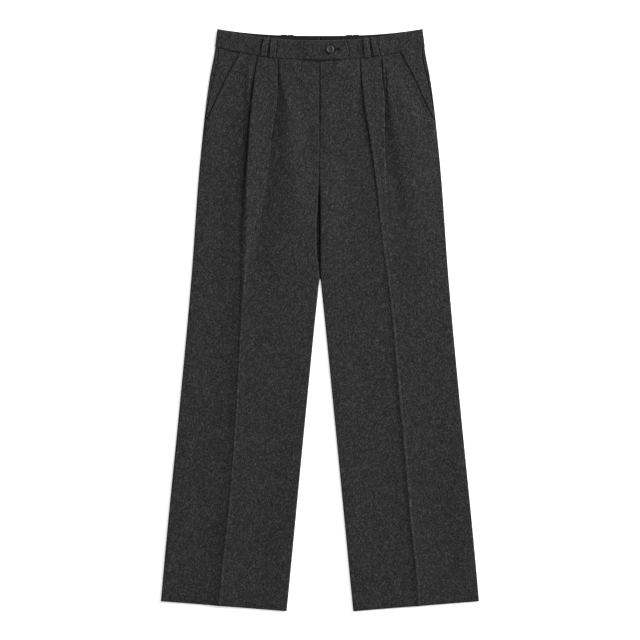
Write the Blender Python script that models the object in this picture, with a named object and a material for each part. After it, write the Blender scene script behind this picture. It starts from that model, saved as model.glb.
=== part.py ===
"""Pleated dress trousers, laid flat on a table with the front up.

Every cut piece of cloth is a thin wall: a section line in the x-z plane is worked out for
each row from the hem to the waist, and the wall is that line moved out to both sides.
X points to the wearer's left, Y to the waistband, Z up from the table. All sizes are in
millimetres until a mesh is made; "u" is the distance from the centre line on either side.
"""
import math
from bisect import bisect_right

import bmesh
import bpy

MM = 0.001
SHARP_ANGLE = 45.0     # edges that bend more than this stay crisp

# Cloth and seams
CLOTH = 1.0            # thickness of one layer of flannel
SEAM = 0.3             # clearance between two sewn pieces
HEM_TURNUP = 38.0      # depth of the turned-up hem
HEM_EXTRA = 0.9        # what the turned-up layer adds inside the leg

# Outline of the laid garment, from its middle
TOP_Y = 529.6
HEM_INNER_Y = -529.6
HEM_OUTER_Y = -511.4
HEM_INNER_U = 60.4
HEM_OUTER_U = 289.6
CROTCH_Y = 76.0

# Waistband
BAND_THICK = 2.4       # outer cloth, stiffener and inner cloth
BAND_BACK_Z = 1.3      # underside of the back half, which lies on the back belt loops
BAND_FRONT_Z = BAND_BACK_Z + BAND_THICK + SEAM
BAND_TURN_R = (BAND_FRONT_Z - BAND_BACK_Z) / 2
BAND_SIDE_BOTTOM_U = 191.0
BAND_SIDE_TOP_U = 186.7
FRONT_SEAM_Y = 472.8   # waist seam at the centre front, and how far it climbs to the side
FRONT_SEAM_RISE = 24.1
BACK_SEAM_Y = 481.9
BACK_SEAM_RISE = 15.0
FRONT_TOP_Y = 507.8
BACK_TOP_Y = 516.9
BACK_TOP_POWER = 2.6
TAB_TIP_X = 52.8       # the right end laps over the left one
TAB_TIP_HEIGHT = 0.43  # height of the tip, as a share of the band's width
TAB_CORNER = 13.5      # how far the rounded lower corner pulls back
TAB_TOP_SLANT = 6.8
TAB_LEVEL_X = -42.0    # where the right end begins to climb over the left one
TAB_RAISED_X = -16.5
UNDERLAP_END_X = -15.0

# Turned edges of the legs and hips
EDGE_R = 1.95          # radius of the side folds at the middle of the cloth
EDGE_RUN = 2.0         # shortest stretch of an edge that can curl
LEG_CURL = 57.7        # how far the front turns down to meet the inseam
FOLDED_LEVEL = CLOTH / 2 + 2 * EDGE_R  # middle of the cloth on top of a side fold
LIFT_FROM_Y = 400.0    # the hips climb from the table to the back of the waistband
LIFT_TO_Y = 470.0

# Pleats
PITCH = CLOTH + SEAM   # layer to layer in a folded pleat
FOLD_R = PITCH / 2
FOLD_SOFTENS = 1.4     # how fast a fold's radius grows as it opens out
CREASE_WIDTH = 16.0    # reach of the slope beside a fold
FADE_WIDTH = 24.0
BRINK = 3.0            # the layer under a pleat runs level until this far outside its fold

# Slant pockets
POCKET_END_V = 360.2
FACING_OVERLAP = 10.0  # how far the facing runs on under the front
FACING_LEVEL = 2.2
FACING_RISE = 14.0

# Fly
SHIELD_X = (-34.0, 6.0)
SHIELD_LEVEL = 1.8
SHIELD_TAPER_Y = 318.0 # the shield narrows from here to its lower end
SHIELD_TAPER = 0.45
SHIELD_TAPER_LENGTH = 20.0
ZIP_X = (-13.6, -8.5)
SLIDER_X = -15.6
SLIDER_Y = (458.0, 468.0)

# Belt loops and button
LOOP_WIDTH = 11.0
LOOP_THICK = 1.2
LOOP_BULGE = {"front": 0.9, "back": 0.0}   # how far a loop arches away from the waistband
LOOP_PROUD = {"front": 0.5, "back": 1.8}   # how far it stands over the top edge
BUTTON_X = 18.2
BUTTON_Y = 491.2
BUTTON_RADIUS = 7.5
BUTTON_THICK = 2.6
BUTTON_HOLE_R = 0.8
BUTTON_HOLE_OFFSET = 1.35
BUTTON_SIDES = 32

# Steps along a section
TAIL_STEPS = 3
RUN_STEPS = 5
STRIP_STEPS = 3
ARC_STEPS = 4
SIDE_STEPS = 12
BAND_BACK_STEPS = 7
BAND_TURN_STEPS = 8
BAND_FRONT_STEPS = 6
BAND_END_STEPS = 7
LOOP_STEPS = {"front": 6, "back": 2}
DRILL_SIDES = 10

# Rows of each piece, from the waist to the hem
BAND_SHARES = (0.0, 0.06, 0.2, TAB_TIP_HEIGHT, 0.72, 1.0)

LEG_ROWS = (50.0, -80.0, -240.0, -400.0, -488.0, -494.0, HEM_INNER_Y)
FRONT_ROWS = (472.65, 455.0, 430.0, 400.0, 361.0, 359.4, 345.0, 328.0, 312.0, 298.0, 278.0,
              252.0, 228.0, 195.0, 160.0, 120.0, 76.0) + LEG_ROWS
BACK_ROWS = (472.65, 455.0, 430.0, 400.0, 361.0, 359.4, 345.0, 298.0, 228.0, 160.0, 76.0, 66.0
             ) + LEG_ROWS
FACING_ROWS = (472.65, 455.0, 430.0, 400.0, 362.0)
SHIELD_ROWS = (472.65, 430.0, 400.0, 345.0, 318.0, 305.0, 298.0)
ZIP_ROWS = (457.0, 430.0, 400.0, 326.0)


class Curve:
    """A smooth curve through the rows of a table, with no overshoot between them."""

    def __init__(self, at, values):
        self.at = at
        self.values = values
        rises = [(values[k + 1] - values[k]) / (at[k + 1] - at[k]) for k in range(len(at) - 1)]
        self.slopes = [rises[0]]
        for before, after in zip(rises, rises[1:]):
            level = before * after <= 0
            self.slopes.append(0.0 if level else 2 * before * after / (before + after))
        self.slopes.append(rises[-1])

    def __call__(self, x):
        if x <= self.at[0]:
            return self.values[0]
        if x >= self.at[-1]:
            return self.values[-1]
        k = bisect_right(self.at, x) - 1
        span = self.at[k + 1] - self.at[k]
        t = (x - self.at[k]) / span
        return ((2 * t ** 3 - 3 * t ** 2 + 1) * self.values[k]
                + (t ** 3 - 2 * t ** 2 + t) * span * self.slopes[k]
                + (3 * t ** 2 - 2 * t ** 3) * self.values[k + 1]
                + (t ** 3 - t ** 2) * span * self.slopes[k + 1])


class Table:
    """Named columns over the first one, each read as a smooth curve."""

    def __init__(self, names, *rows):
        rows = sorted(rows)
        at = [row[0] for row in rows]
        for column, name in enumerate(names.split()[1:], 1):
            setattr(self, name, Curve(at, [row[column] for row in rows]))


# Half-width of the laid garment.
OUTLINE = Table(
    "y half_width",
    (529.6, 186.7),
    (487.8, 191.4),
    (444.0, 199.8),
    (400.4, 206.2),
    (342.2, 212.8),
    (254.8, 221.1),
    (80.1, 233.7),
    (-152.9, 255.0),
    (-385.8, 278.1),
    (HEM_OUTER_Y, HEM_OUTER_U))

# Inner edge of each front: at the fly the left front runs on under the right one, then
# both dive into the crevice of the crotch. "curl" is how far the edge turns down, in degrees.
INNER_EDGE = Table(
    "y right left curl",
    (472.8, 1.3, -8.0, 0.0),
    (328.0, 1.3, -8.0, 0.0),
    (312.0, 1.45, -1.15, 0.0),
    (278.0, 1.45, -1.15, 0.0),
    (252.0, 2.6, -0.7, 40.0),
    (228.0, 4.6, 0.0, 90.0),
    (195.0, 6.2, 0.4, 90.0),
    (130.0, 5.6, 0.4, 90.0),
    (CROTCH_Y, 0.9, 0.9, 66.0),
    (50.0, 3.5, 3.5, LEG_CURL),
    (HEM_INNER_Y, HEM_INNER_U, HEM_INNER_U, LEG_CURL))

# How far the inner edge of each back turns up: flat at the seat seam, round on the legs.
BACK_EDGE = Table(
    "y edge curl",
    (481.9, 0.15, 0.0),
    (CROTCH_Y, 0.15, 0.0),
    (66.0, 1.7, 60.0),
    (50.0, 3.5, 113.5),
    (HEM_INNER_Y, HEM_INNER_U, 113.5))

# Where the side seam lies past the side fold, measured along the cloth on the front.
SIDE_SEAM = Table(
    "y past_fold",
    (496.9, 5.1),
    (466.0, 8.1),
    (437.0, 6.1),
    (384.0, 2.8),
    (342.0, 0.8),
    (HEM_INNER_Y, 0.8))

POCKET = Table(
    "y mouth",
    (490.0, 142.9),
    (428.0, 175.6),
    (367.0, 204.0),
    (361.0, 207.6))

# The two pleats of each front turn away from each other under a raised strip. On the right
# the outer one runs on as the leg's crease, on the left the inner one does.
FOLDS_RIGHT = Table(
    "y inner outer",
    (475.0, 77.9, 113.2),
    (429.5, 77.6, 120.3),
    (398.6, 78.8, 123.8),
    (358.5, 85.0, 127.8),
    (298.5, 92.5, 131.6),
    (229.3, 101.9, 137.2),
    (147.4, 117.0, 141.6),
    (67.3, 130.0, 142.7),
    (-15.0, 136.0, 146.7),
    (-145.6, 143.0, 153.8),
    (-254.8, 150.0, 161.0),
    (-364.0, 159.0, 170.2),
    (-473.0, 170.0, 181.0),
    (HEM_INNER_Y, 174.0, 185.0))
FOLDS_LEFT = Table(
    "y inner outer",
    (475.0, 73.9, 111.6),
    (429.5, 78.3, 117.4),
    (398.6, 81.9, 118.3),
    (358.5, 88.6, 118.6),
    (298.5, 99.7, 119.0),
    (229.3, 107.9, 121.0),
    (187.5, 112.1, 123.5),
    (127.4, 118.3, 129.5),
    (67.0, 124.7, 136.0),
    (-15.0, 132.5, 143.5),
    (-145.6, 143.2, 154.0),
    (-254.8, 154.2, 165.0),
    (-364.0, 163.1, 174.0),
    (-482.0, 175.8, 187.0),
    (HEM_INNER_Y, 178.5, 189.5))

# Each pleat laps over by "lap" and turns back by "turn" degrees: 180 is folded flat, and a
# few degrees are a soft slope. One pleat of a front becomes the crease, the other fades.
PLEATS = Table(
    "v crease_lap crease_turn fade_lap fade_turn",
    (472.8, 15.0, 180.0, 15.0, 180.0),
    (400.0, 9.0, 180.0, 7.0, 180.0),
    (345.0, 4.5, 180.0, 2.0, 180.0),
    (328.0, 3.0, 180.0, 0.9, 175.0),
    (298.0, 0.9, 175.0, 0.5, 100.0),
    (278.0, 0.5, 140.0, 0.4, 60.0),
    (252.0, 0.4, 85.0, 0.4, 24.0),
    (228.0, 0.4, 45.0, 0.4, 10.0),
    (195.0, 0.4, 22.0, 0.4, 5.0),
    (120.0, 0.4, 12.0, 0.4, 4.0),
    (50.0, 0.4, 10.0, 0.4, 4.0),
    (HEM_INNER_Y, 0.4, 10.0, 0.4, 4.0))

# Heights of the middle of the cloth above the table, before the hips climb to the waistband.
LEVELS = Table(
    "v fly_right fly_left flat_in crease_base fade_base strip flat_out",
    (472.8, 4.4, 3.1, 2.9, 1.8, 1.8, 4.4, 2.9),
    (430.0, 4.4, 3.1, 2.3, 1.8, 1.8, 4.4, 2.6),
    (345.0, 4.4, 3.1, 2.1, 1.8, 1.8, 4.3, 2.5),
    (312.0, 4.4, 3.2, 2.1, 1.8, 1.8, 4.1, 2.5),
    (290.0, 3.3, 3.2, 2.1, 1.8, 1.9, 3.9, 2.4),
    (252.0, 3.6, 3.6, 2.1, 1.9, 2.1, 3.2, 2.3),
    (228.0, 4.4, 4.4, 2.1, 2.0, 2.2, 2.8, 2.2),
    (160.0, 4.4, 4.4, 2.0, 2.3, 2.3, 2.5, 2.0),
    (50.0, 4.4, 4.4, 1.9, 2.6, 2.5, 2.7, 1.9),
    (-400.0, 4.4, 4.4, 2.0, 2.7, 2.65, 2.8, 2.0),
    (-488.0, 4.4, 4.4, 3.4, 3.9, 3.85, 4.0, 3.4),
    (HEM_INNER_Y, 4.4, 4.4, 3.6, 4.1, 4.05, 4.2, 3.6))

# Flat shoulder beside each edge of a front, and the slope beyond it.
SHOULDERS = Table(
    "v right left outer reach_in reach_out",
    (472.8, 36.0, 16.0, 11.0, 22.0, 30.0),
    (328.0, 36.0, 16.0, 2.0, 22.0, 40.0),
    (290.0, 20.0, 14.0, 1.0, 34.0, 48.0),
    (228.0, 1.0, 1.0, 1.0, 55.0, 52.0),
    (HEM_INNER_Y, 1.0, 1.0, 1.0, 55.0, 55.0))

# Belt loops: centre line at the top and the bottom of the waistband, away from the centre.
FRONT_LOOPS = {"inner": (83.5, 86.5), "outer": (96.5, 103.0)}
BACK_LOOPS = {"inner": (53.4, 53.8), "outer": (65.4, 66.4)}

# The button from its underside to its top face: radius and height, as shares.
BUTTON_PROFILE = (
    (0.55, 0.00),
    (0.88, 0.12),
    (1.00, 0.45),
    (0.96, 0.85),
    (0.84, 1.00),
    (0.70, 0.95),
    (0.58, 0.72))

CHARCOAL = (0.032, 0.032, 0.034)
DARK_HORN = (0.030, 0.029, 0.030)
DARK_BRASS = (0.10, 0.085, 0.06)

# For each half: the sign of X, and which pleat is the crease
HALVES = {"right": (-1, "outer"), "left": (1, "inner")}


def ease(t):
    """0 to 1 with a level start and end."""
    t = min(1.0, max(0.0, t))
    return t * t * (3 - 2 * t)


def fall(distance, flat, reach):
    """1 within the flat stretch, then down to 0 over the reach."""
    return 1 - ease((distance - flat) / reach)


def spread(start, end, steps):
    """The inner points of a run cut into equal steps."""
    return [start + (end - start) * k / steps for k in range(1, steps)]


def sag(start, end, flat, near, far, steps):
    """The inner points of cloth that runs from start to end and sags to a flat level.

    near and far give the shoulder beside each end: how far it stays level, then its slope.
    """
    points = []
    for u in spread(start[0], end[0], steps):
        first = fall(u - start[0], *near)
        last = fall(end[0] - u, *far)
        across = ease((u - start[0]) / (end[0] - start[0]))
        direct = start[1] + (end[1] - start[1]) * across
        points.append((u, first * (1 - last) * start[1]
                       + last * (1 - first) * end[1]
                       + first * last * direct
                       + (1 - first) * (1 - last) * flat))
    return points


class Grain:
    """Rows of a panel: level lines that bend up to the waist seam and slant to the hem."""

    FADE = 150.0

    def __init__(self, seam_y, rise):
        self.seam_y = seam_y
        self.rise = rise

    def y(self, v, u):
        """Y of row v at the distance u from the centre."""
        waist = ease((v - self.seam_y + self.FADE) / self.FADE)
        hem = ease((self.FADE - (v - HEM_INNER_Y)) / self.FADE)
        hem_rise = (HEM_OUTER_Y - HEM_INNER_Y) * (u - HEM_INNER_U) / (HEM_OUTER_U - HEM_INNER_U)
        return v + waist * self.rise * (u / BAND_SIDE_BOTTOM_U) ** 2 + hem * hem_rise

    def place(self, curve, v):
        """Where this row crosses a line that a table gives by y."""
        u = curve(v)
        for _ in range(4):
            u = curve(self.y(v, u))
        return u


FRONT_GRAIN = Grain(FRONT_SEAM_Y, FRONT_SEAM_RISE)
BACK_GRAIN = Grain(BACK_SEAM_Y, BACK_SEAM_RISE)


def back_row(v):
    """The row of the back that meets this row of the front at the side."""
    side = FRONT_GRAIN.place(OUTLINE.half_width, v)
    meeting = v
    for _ in range(20):
        meeting += FRONT_GRAIN.y(v, side) - BACK_GRAIN.y(meeting, side)
    return meeting


def lift(y):
    """How far the cloth of the hips has climbed towards the back of the waistband."""
    return BAND_BACK_Z * ease((y - LIFT_FROM_Y) / (LIFT_TO_Y - LIFT_FROM_Y))


def curl(start, level, heading, angle, up):
    """An edge that turns up or down by an angle, from its start to its end."""
    length = max(EDGE_RUN, EDGE_R * angle)
    points = []
    for k in range(1, TAIL_STEPS + 1):
        share = k / TAIL_STEPS
        if angle > 0:
            radius = length / angle
            points.append((start + heading * radius * math.sin(angle * share),
                           level + up * radius * (1 - math.cos(angle * share))))
        else:
            points.append((start + heading * length * share, level))
    return points


def inner_start(edge, angle):
    """Where an inner edge begins to curl, so that the cloth ends at the given edge."""
    full = min(1.0, angle / math.radians(LEG_CURL))
    return edge + EDGE_RUN + full * (CLOTH / 2 + EDGE_R - EDGE_RUN)


def side_fold(v):
    """Top of the side fold and how far past it the side seam lies."""
    top = FRONT_GRAIN.place(OUTLINE.half_width, v) - CLOTH / 2 - EDGE_R
    return top, SIDE_SEAM.past_fold(FRONT_GRAIN.y(v, top))


def seam_edge(v):
    """Start and turn of the cloth that meets the side seam from the front."""
    top, past = side_fold(v)
    past += SEAM
    angle = max(0.0, math.pi / 2 - past / EDGE_R)
    beyond = max(0.0, past - EDGE_R * math.pi / 2)
    slack = max(EDGE_RUN, EDGE_R * angle) - EDGE_R * angle
    return top - beyond - slack, angle


def facing_level(v, u):
    """Height of the pocket facing: low under the front, up to the fold at the side seam."""
    top = side_fold(v)[0]
    return FACING_LEVEL + (FOLDED_LEVEL - FACING_LEVEL) * fall(top - u, 0.0, FACING_RISE)


def fold_step(lap, turn):
    """One pleat fold, from the layer below to the strip above.

    Returns its points from (0, 0) and how far its start lies from the visible fold line.
    """
    angle = math.radians(turn)
    radius = FOLD_R / math.sin(angle / 2) ** FOLD_SOFTENS
    points = []
    for k in range(1, ARC_STEPS + 1):
        turned = angle * k / ARC_STEPS
        points.append((radius * math.sin(turned), radius * (1 - math.cos(turned))))
    u, z = points[-1]
    u += lap * math.cos(angle)
    z += lap * math.sin(angle)
    for k in range(ARC_STEPS + 1):
        left = angle * (1 - k / ARC_STEPS)
        points.append((u + radius * (math.sin(angle) - math.sin(left)),
                       z + radius * (math.cos(left) - math.cos(angle))))
    if turn >= 90:
        start = radius - 2 * radius * math.sin(angle) - lap * math.cos(angle)
    else:
        start = -radius * math.sin(angle) - lap * math.cos(angle) / 2
    return points, start


def front_line(half, v):
    """Section of a front from the centre to the side, as (u, z)."""
    crease = HALVES[half][1]
    folds = {"right": FOLDS_RIGHT, "left": FOLDS_LEFT}[half]
    kinds = {crease: "crease", ("inner" if crease == "outer" else "outer"): "fade"}
    steps = {}
    bases = {}
    lines = {}
    for which in ("inner", "outer"):
        kind = kinds[which]
        steps[which] = fold_step(getattr(PLEATS, kind + "_lap")(v),
                                 getattr(PLEATS, kind + "_turn")(v))
        bases[which] = getattr(LEVELS, kind + "_base")(v)
        lines[which] = FRONT_GRAIN.place(getattr(folds, which), v)

    # centre edge and the run out to the inner pleat
    edge = FRONT_GRAIN.place(getattr(INNER_EDGE, half), v)
    angle = math.radians(INNER_EDGE.curl(v))
    start = (inner_start(edge, angle), getattr(LEVELS, "fly_" + half)(v))
    points = curl(*start, -1, angle, -1)[::-1] + [start]
    fold, offset = steps["inner"]
    foot = lines["inner"] + offset
    brink = (min(lines["inner"], foot) - BRINK, bases["inner"])
    shoulder = (getattr(SHOULDERS, half)(v), SHOULDERS.reach_in(v))
    points += sag(start, brink, LEVELS.flat_in(v), shoulder, (0.0, FADE_WIDTH), RUN_STEPS)
    points += [brink, (foot, bases["inner"])]

    # inner pleat, raised strip, outer pleat
    points += [(foot + du, bases["inner"] + dz) for du, dz in fold]
    fold, offset = steps["outer"]
    foot = lines["outer"] - offset
    under_strip = [(foot - du, bases["outer"] + dz) for du, dz in fold[::-1]]
    slope = (0.0, CREASE_WIDTH)
    points += sag(points[-1], under_strip[0], LEVELS.strip(v), slope, slope, STRIP_STEPS)
    points += under_strip

    # run out to the pocket mouth or the side seam
    if v > POCKET_END_V:
        mouth = FRONT_GRAIN.place(POCKET.mouth, v)
        end, angle = (mouth - EDGE_RUN, facing_level(v, mouth) + PITCH), 0.0
    else:
        start_u, angle = seam_edge(v)
        end = (start_u, FOLDED_LEVEL)
    brink = (max(lines["outer"], foot) + BRINK, bases["outer"])
    shoulder = (SHOULDERS.outer(v), SHOULDERS.reach_out(v))
    points += [(foot, bases["outer"]), brink]
    points += sag(brink, end, LEVELS.flat_out(v), (0.0, FADE_WIDTH), shoulder, RUN_STEPS)
    return points + [end] + curl(*end, 1, angle, -1)


def back_row_line(v):
    """A back's row from the seat seam or inseam, round the side fold to the side seam."""
    low = CLOTH / 2
    under = back_row(v)
    angle = math.radians(BACK_EDGE.curl(v))
    start = inner_start(BACK_EDGE.edge(v), angle)
    top, past = side_fold(v)
    flat = curl(start, low, -1, angle, 1)[::-1] + [(start, low)]
    flat += [(u, low) for u in spread(start, top, RUN_STEPS)]
    row = [(u, BACK_GRAIN.y(under, u), z) for u, z in flat]
    round_the_side = EDGE_R * math.pi / 2 + past
    for k in range(SIDE_STEPS + 1):
        way = round_the_side * k / SIDE_STEPS
        turned = min(math.pi, way / EDGE_R)
        beyond = max(0.0, way - math.pi * EDGE_R)
        u = top + EDGE_R * math.sin(turned) - beyond
        row.append((u, FRONT_GRAIN.y(v, u), low + EDGE_R * (1 - math.cos(turned))))
    return [(u, y, z + lift(y)) for u, y, z in row]


def facing_line(v):
    """Section of a pocket facing, from under the front out to the side seam."""
    inner = FRONT_GRAIN.place(POCKET.mouth, v) - FACING_OVERLAP
    start, angle = seam_edge(v)
    points = [(u, facing_level(v, u)) for u in [inner] + spread(inner, start, RUN_STEPS)]
    points.append((start, FOLDED_LEVEL))
    return points + curl(start, FOLDED_LEVEL, 1, angle, -1)


def laid(v, line):
    """Put a front section on its row: (u, y, z), climbing with the hips."""
    row = []
    for u, z in line:
        y = FRONT_GRAIN.y(v, u)
        row.append((u, y, z + lift(y)))
    return row


def sideways(row, above, below):
    """The two sides of a section line, moved out square to it.

    Bends are mitred, and a curved end goes on turning up to its last point.
    """
    headings = [math.atan2(after[2] - point[2], after[0] - point[0])
                for point, after in zip(row, row[1:])]
    bends = [math.remainder(after - before, 2 * math.pi)
             for before, after in zip(headings, headings[1:])] or [0.0]
    bends = [bends[0]] + bends + [bends[-1]]
    headings = [headings[0] - bends[0]] + headings
    upper = []
    lower = []
    for (u, y, z), heading, bend in zip(row, headings, bends):
        square = heading + bend / 2
        across, up = -math.sin(square), math.cos(square)
        mitre = 1 / math.cos(bend / 2)
        upper.append((u + across * above * mitre, y, z + up * above * mitre))
        lower.append((u - across * below * mitre, y, z - up * below * mitre))
    return upper, lower


def wall(name, rows, side, material, above=None, below=None):
    """Make a closed wall from section lines; above and below give its half-thickness."""
    half = CLOTH / 2
    uppers = []
    lowers = []
    for index, row in enumerate(rows):
        upper, lower = sideways(row, above[index] if above else half,
                                below[index] if below else half)
        uppers.append(upper)
        lowers.append(lower)
    mesh = bmesh.new()
    grids = []
    for grid in (uppers, lowers):
        grids.append([[mesh.verts.new((side * u * MM, y * MM, z * MM)) for u, y, z in line]
                      for line in grid])
    top, bottom = grids
    last_row = len(rows) - 1
    last = len(rows[0]) - 1
    for i in range(last_row):
        for j in range(last):
            mesh.faces.new((top[i][j], top[i][j + 1], top[i + 1][j + 1], top[i + 1][j]))
            mesh.faces.new((bottom[i][j], bottom[i + 1][j], bottom[i + 1][j + 1],
                            bottom[i][j + 1]))
        for j in (0, last):
            mesh.faces.new((top[i][j], top[i + 1][j], bottom[i + 1][j], bottom[i][j]))
    for i in (0, last_row):
        for j in range(last):
            mesh.faces.new((top[i][j], top[i][j + 1], bottom[i][j + 1], bottom[i][j]))
    return finish(name, mesh, material)


def finish(name, mesh, material):
    """Turn a bmesh into a named object with its material."""
    bmesh.ops.recalc_face_normals(mesh, faces=mesh.faces)
    data = bpy.data.meshes.new(name)
    mesh.to_mesh(data)
    mesh.free()
    data.materials.append(material)
    data.shade_smooth()
    data.set_sharp_from_angle(angle=math.radians(SHARP_ANGLE))
    piece = bpy.data.objects.new(name, data)
    bpy.context.scene.collection.objects.link(piece)
    return piece


def plain_material(name, colour, roughness, metallic=0.0):
    material = bpy.data.materials.new(name)
    material.use_nodes = True
    shader = material.node_tree.nodes["Principled BSDF"]
    shader.inputs["Base Color"].default_value = (*colour, 1.0)
    shader.inputs["Roughness"].default_value = roughness
    shader.inputs["Metallic"].default_value = metallic
    material.diffuse_color = (*colour, 1.0)
    return material


def hem_layers(rows):
    """Half-thickness of the inner side of a leg, thicker where the hem is turned up."""
    return [CLOTH / 2 + (HEM_EXTRA if v < HEM_INNER_Y + HEM_TURNUP else 0.0) for v in rows]


def make_front(half, flannel):
    rows = [laid(v, front_line(half, v)) for v in FRONT_ROWS]
    wall(f"front_{half}", rows, HALVES[half][0], flannel("front", half),
         below=hem_layers(FRONT_ROWS))


def make_back(half, flannel):
    rows = [back_row_line(v) for v in BACK_ROWS]
    wall(f"back_{half}", rows, HALVES[half][0], flannel("back", half),
         above=hem_layers(BACK_ROWS))


def make_facing(half, flannel):
    rows = [laid(v, facing_line(v)) for v in FACING_ROWS]
    wall(f"pocket_facing_{half}", rows, HALVES[half][0], flannel("pocket_facing", half))


def band_edges(u, front_share):
    """Bottom and top of the waistband; the share is 0 on the back and 1 on the front."""
    across = abs(u) / BAND_SIDE_BOTTOM_U
    higher = min(1.0, abs(u) / BAND_SIDE_TOP_U)
    front_bottom = FRONT_SEAM_Y + FRONT_SEAM_RISE * across ** 2
    back_bottom = BACK_SEAM_Y + BACK_SEAM_RISE * across ** 2
    front_top = FRONT_TOP_Y + (TOP_Y - FRONT_TOP_Y) * higher ** 2
    back_top = BACK_TOP_Y + (TOP_Y - BACK_TOP_Y) * higher ** BACK_TOP_POWER
    bottom = back_bottom + (front_bottom - back_bottom) * front_share
    top = back_top + (front_top - back_top) * front_share
    return bottom + SEAM / 2, top


def tab_end(share):
    """X of the tab's end at a share of the band's height: round below, slanted above."""
    if share < TAB_TIP_HEIGHT:
        drop = (TAB_TIP_HEIGHT - share) / TAB_TIP_HEIGHT
        return TAB_TIP_X - TAB_CORNER * (1 - math.sqrt(1 - drop * drop))
    return TAB_TIP_X - TAB_TOP_SLANT * (share - TAB_TIP_HEIGHT) / (1 - TAB_TIP_HEIGHT)


def band_line(half, share):
    """One level line along half a waistband: seat seam, side fold, centre front."""
    low = BAND_BACK_Z + BAND_THICK / 2
    high = BAND_FRONT_Z + BAND_THICK / 2
    side = BAND_SIDE_BOTTOM_U + (BAND_SIDE_TOP_U - BAND_SIDE_BOTTOM_U) * share
    side -= BAND_THICK / 2 + BAND_TURN_R
    stops = [(SEAM / 2, low, 0.0)]
    stops += [(u, low, 0.0) for u in spread(SEAM / 2, side, BAND_BACK_STEPS)]
    for k in range(BAND_TURN_STEPS + 1):
        turned = math.pi * k / BAND_TURN_STEPS
        stops.append((side + BAND_TURN_R * math.sin(turned),
                      low + BAND_TURN_R * (1 - math.cos(turned)), k / BAND_TURN_STEPS))
    stops += [(u, high, 1.0) for u in spread(side, -TAB_LEVEL_X, BAND_FRONT_STEPS)]
    if half == "left":
        end = UNDERLAP_END_X
    else:
        end = -tab_end(share)
    raised = BAND_THICK + SEAM if half == "right" else 0.0
    for u in [-TAB_LEVEL_X] + spread(-TAB_LEVEL_X, end, BAND_END_STEPS) + [end]:
        climb = ease((u + TAB_LEVEL_X) / (TAB_LEVEL_X - TAB_RAISED_X))
        stops.append((u, high + raised * climb, 1.0))
    line = []
    for u, z, front_share in stops:
        bottom, top = band_edges(u, front_share)
        line.append((u, bottom + (top - bottom) * share, z))
    return line


def make_waistband(half, flannel):
    rows = [band_line(half, share) for share in BAND_SHARES]
    thick = [BAND_THICK / 2] * len(rows)
    wall(f"waistband_{half}", rows, HALVES[half][0], flannel("waistband", half),
         above=thick, below=thick)


def make_fly(flannel, metal):
    """The shield behind the fly, and the closed zip between it and the right front."""
    left, right = SHIELD_X
    middle = (left + right) / 2
    rows = []
    for y in SHIELD_ROWS:
        narrow = 1 - SHIELD_TAPER * ease((SHIELD_TAPER_Y - y) / SHIELD_TAPER_LENGTH)
        stops = [middle + (x - middle) * narrow for x in (left, middle, right)]
        rows.append([(x, y, SHIELD_LEVEL + lift(y)) for x in stops])
    wall("fly_shield", rows, 1, flannel("fly", "shield"))

    rows = []
    inner, outer = ZIP_X
    stops = [(y, SLIDER_X) for y in SLIDER_Y[::-1]] + [(y, inner) for y in ZIP_ROWS]
    for y, edge in stops:
        level = SHIELD_LEVEL + PITCH + lift(y)
        rows.append([(edge, y, level), (outer, y, level)])
    wall("fly_zip", rows, 1, metal)


def loop_rows(line, where, level):
    """A strip up the waistband, arched away from it between its sewn ends."""
    top_u, bottom_u = line
    front_share = 1.0 if where == "front" else 0.0
    rows = []
    steps = LOOP_STEPS[where]
    for k in range(steps + 1):
        share = k / steps
        u = bottom_u + (top_u - bottom_u) * share
        bottom, top = band_edges(u, front_share)
        y = bottom + (top + LOOP_PROUD[where] - bottom) * share
        z = level + LOOP_BULGE[where] * math.sin(math.pi * share)
        rows.append([(u - LOOP_WIDTH / 2, y, z), (u + LOOP_WIDTH / 2, y, z)])
    return rows


def make_belt_loops(flannel):
    """Two pairs over the front of the waistband and two pairs under its back."""
    over = BAND_FRONT_Z + BAND_THICK + SEAM + LOOP_THICK / 2
    for half, (side, _) in HALVES.items():
        for place, line in FRONT_LOOPS.items():
            rows = loop_rows(line, "front", over)
            thick = [LOOP_THICK / 2] * len(rows)
            wall(f"belt_loop_front_{half}_{place}", rows, side,
                 flannel("belt_loop_front", half + "_" + place), above=thick, below=thick)
        for place, line in BACK_LOOPS.items():
            rows = loop_rows(line, "back", CLOTH / 2)
            wall(f"belt_loop_back_{half}_{place}", rows, side,
                 flannel("belt_loop_back", half + "_" + place))


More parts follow.
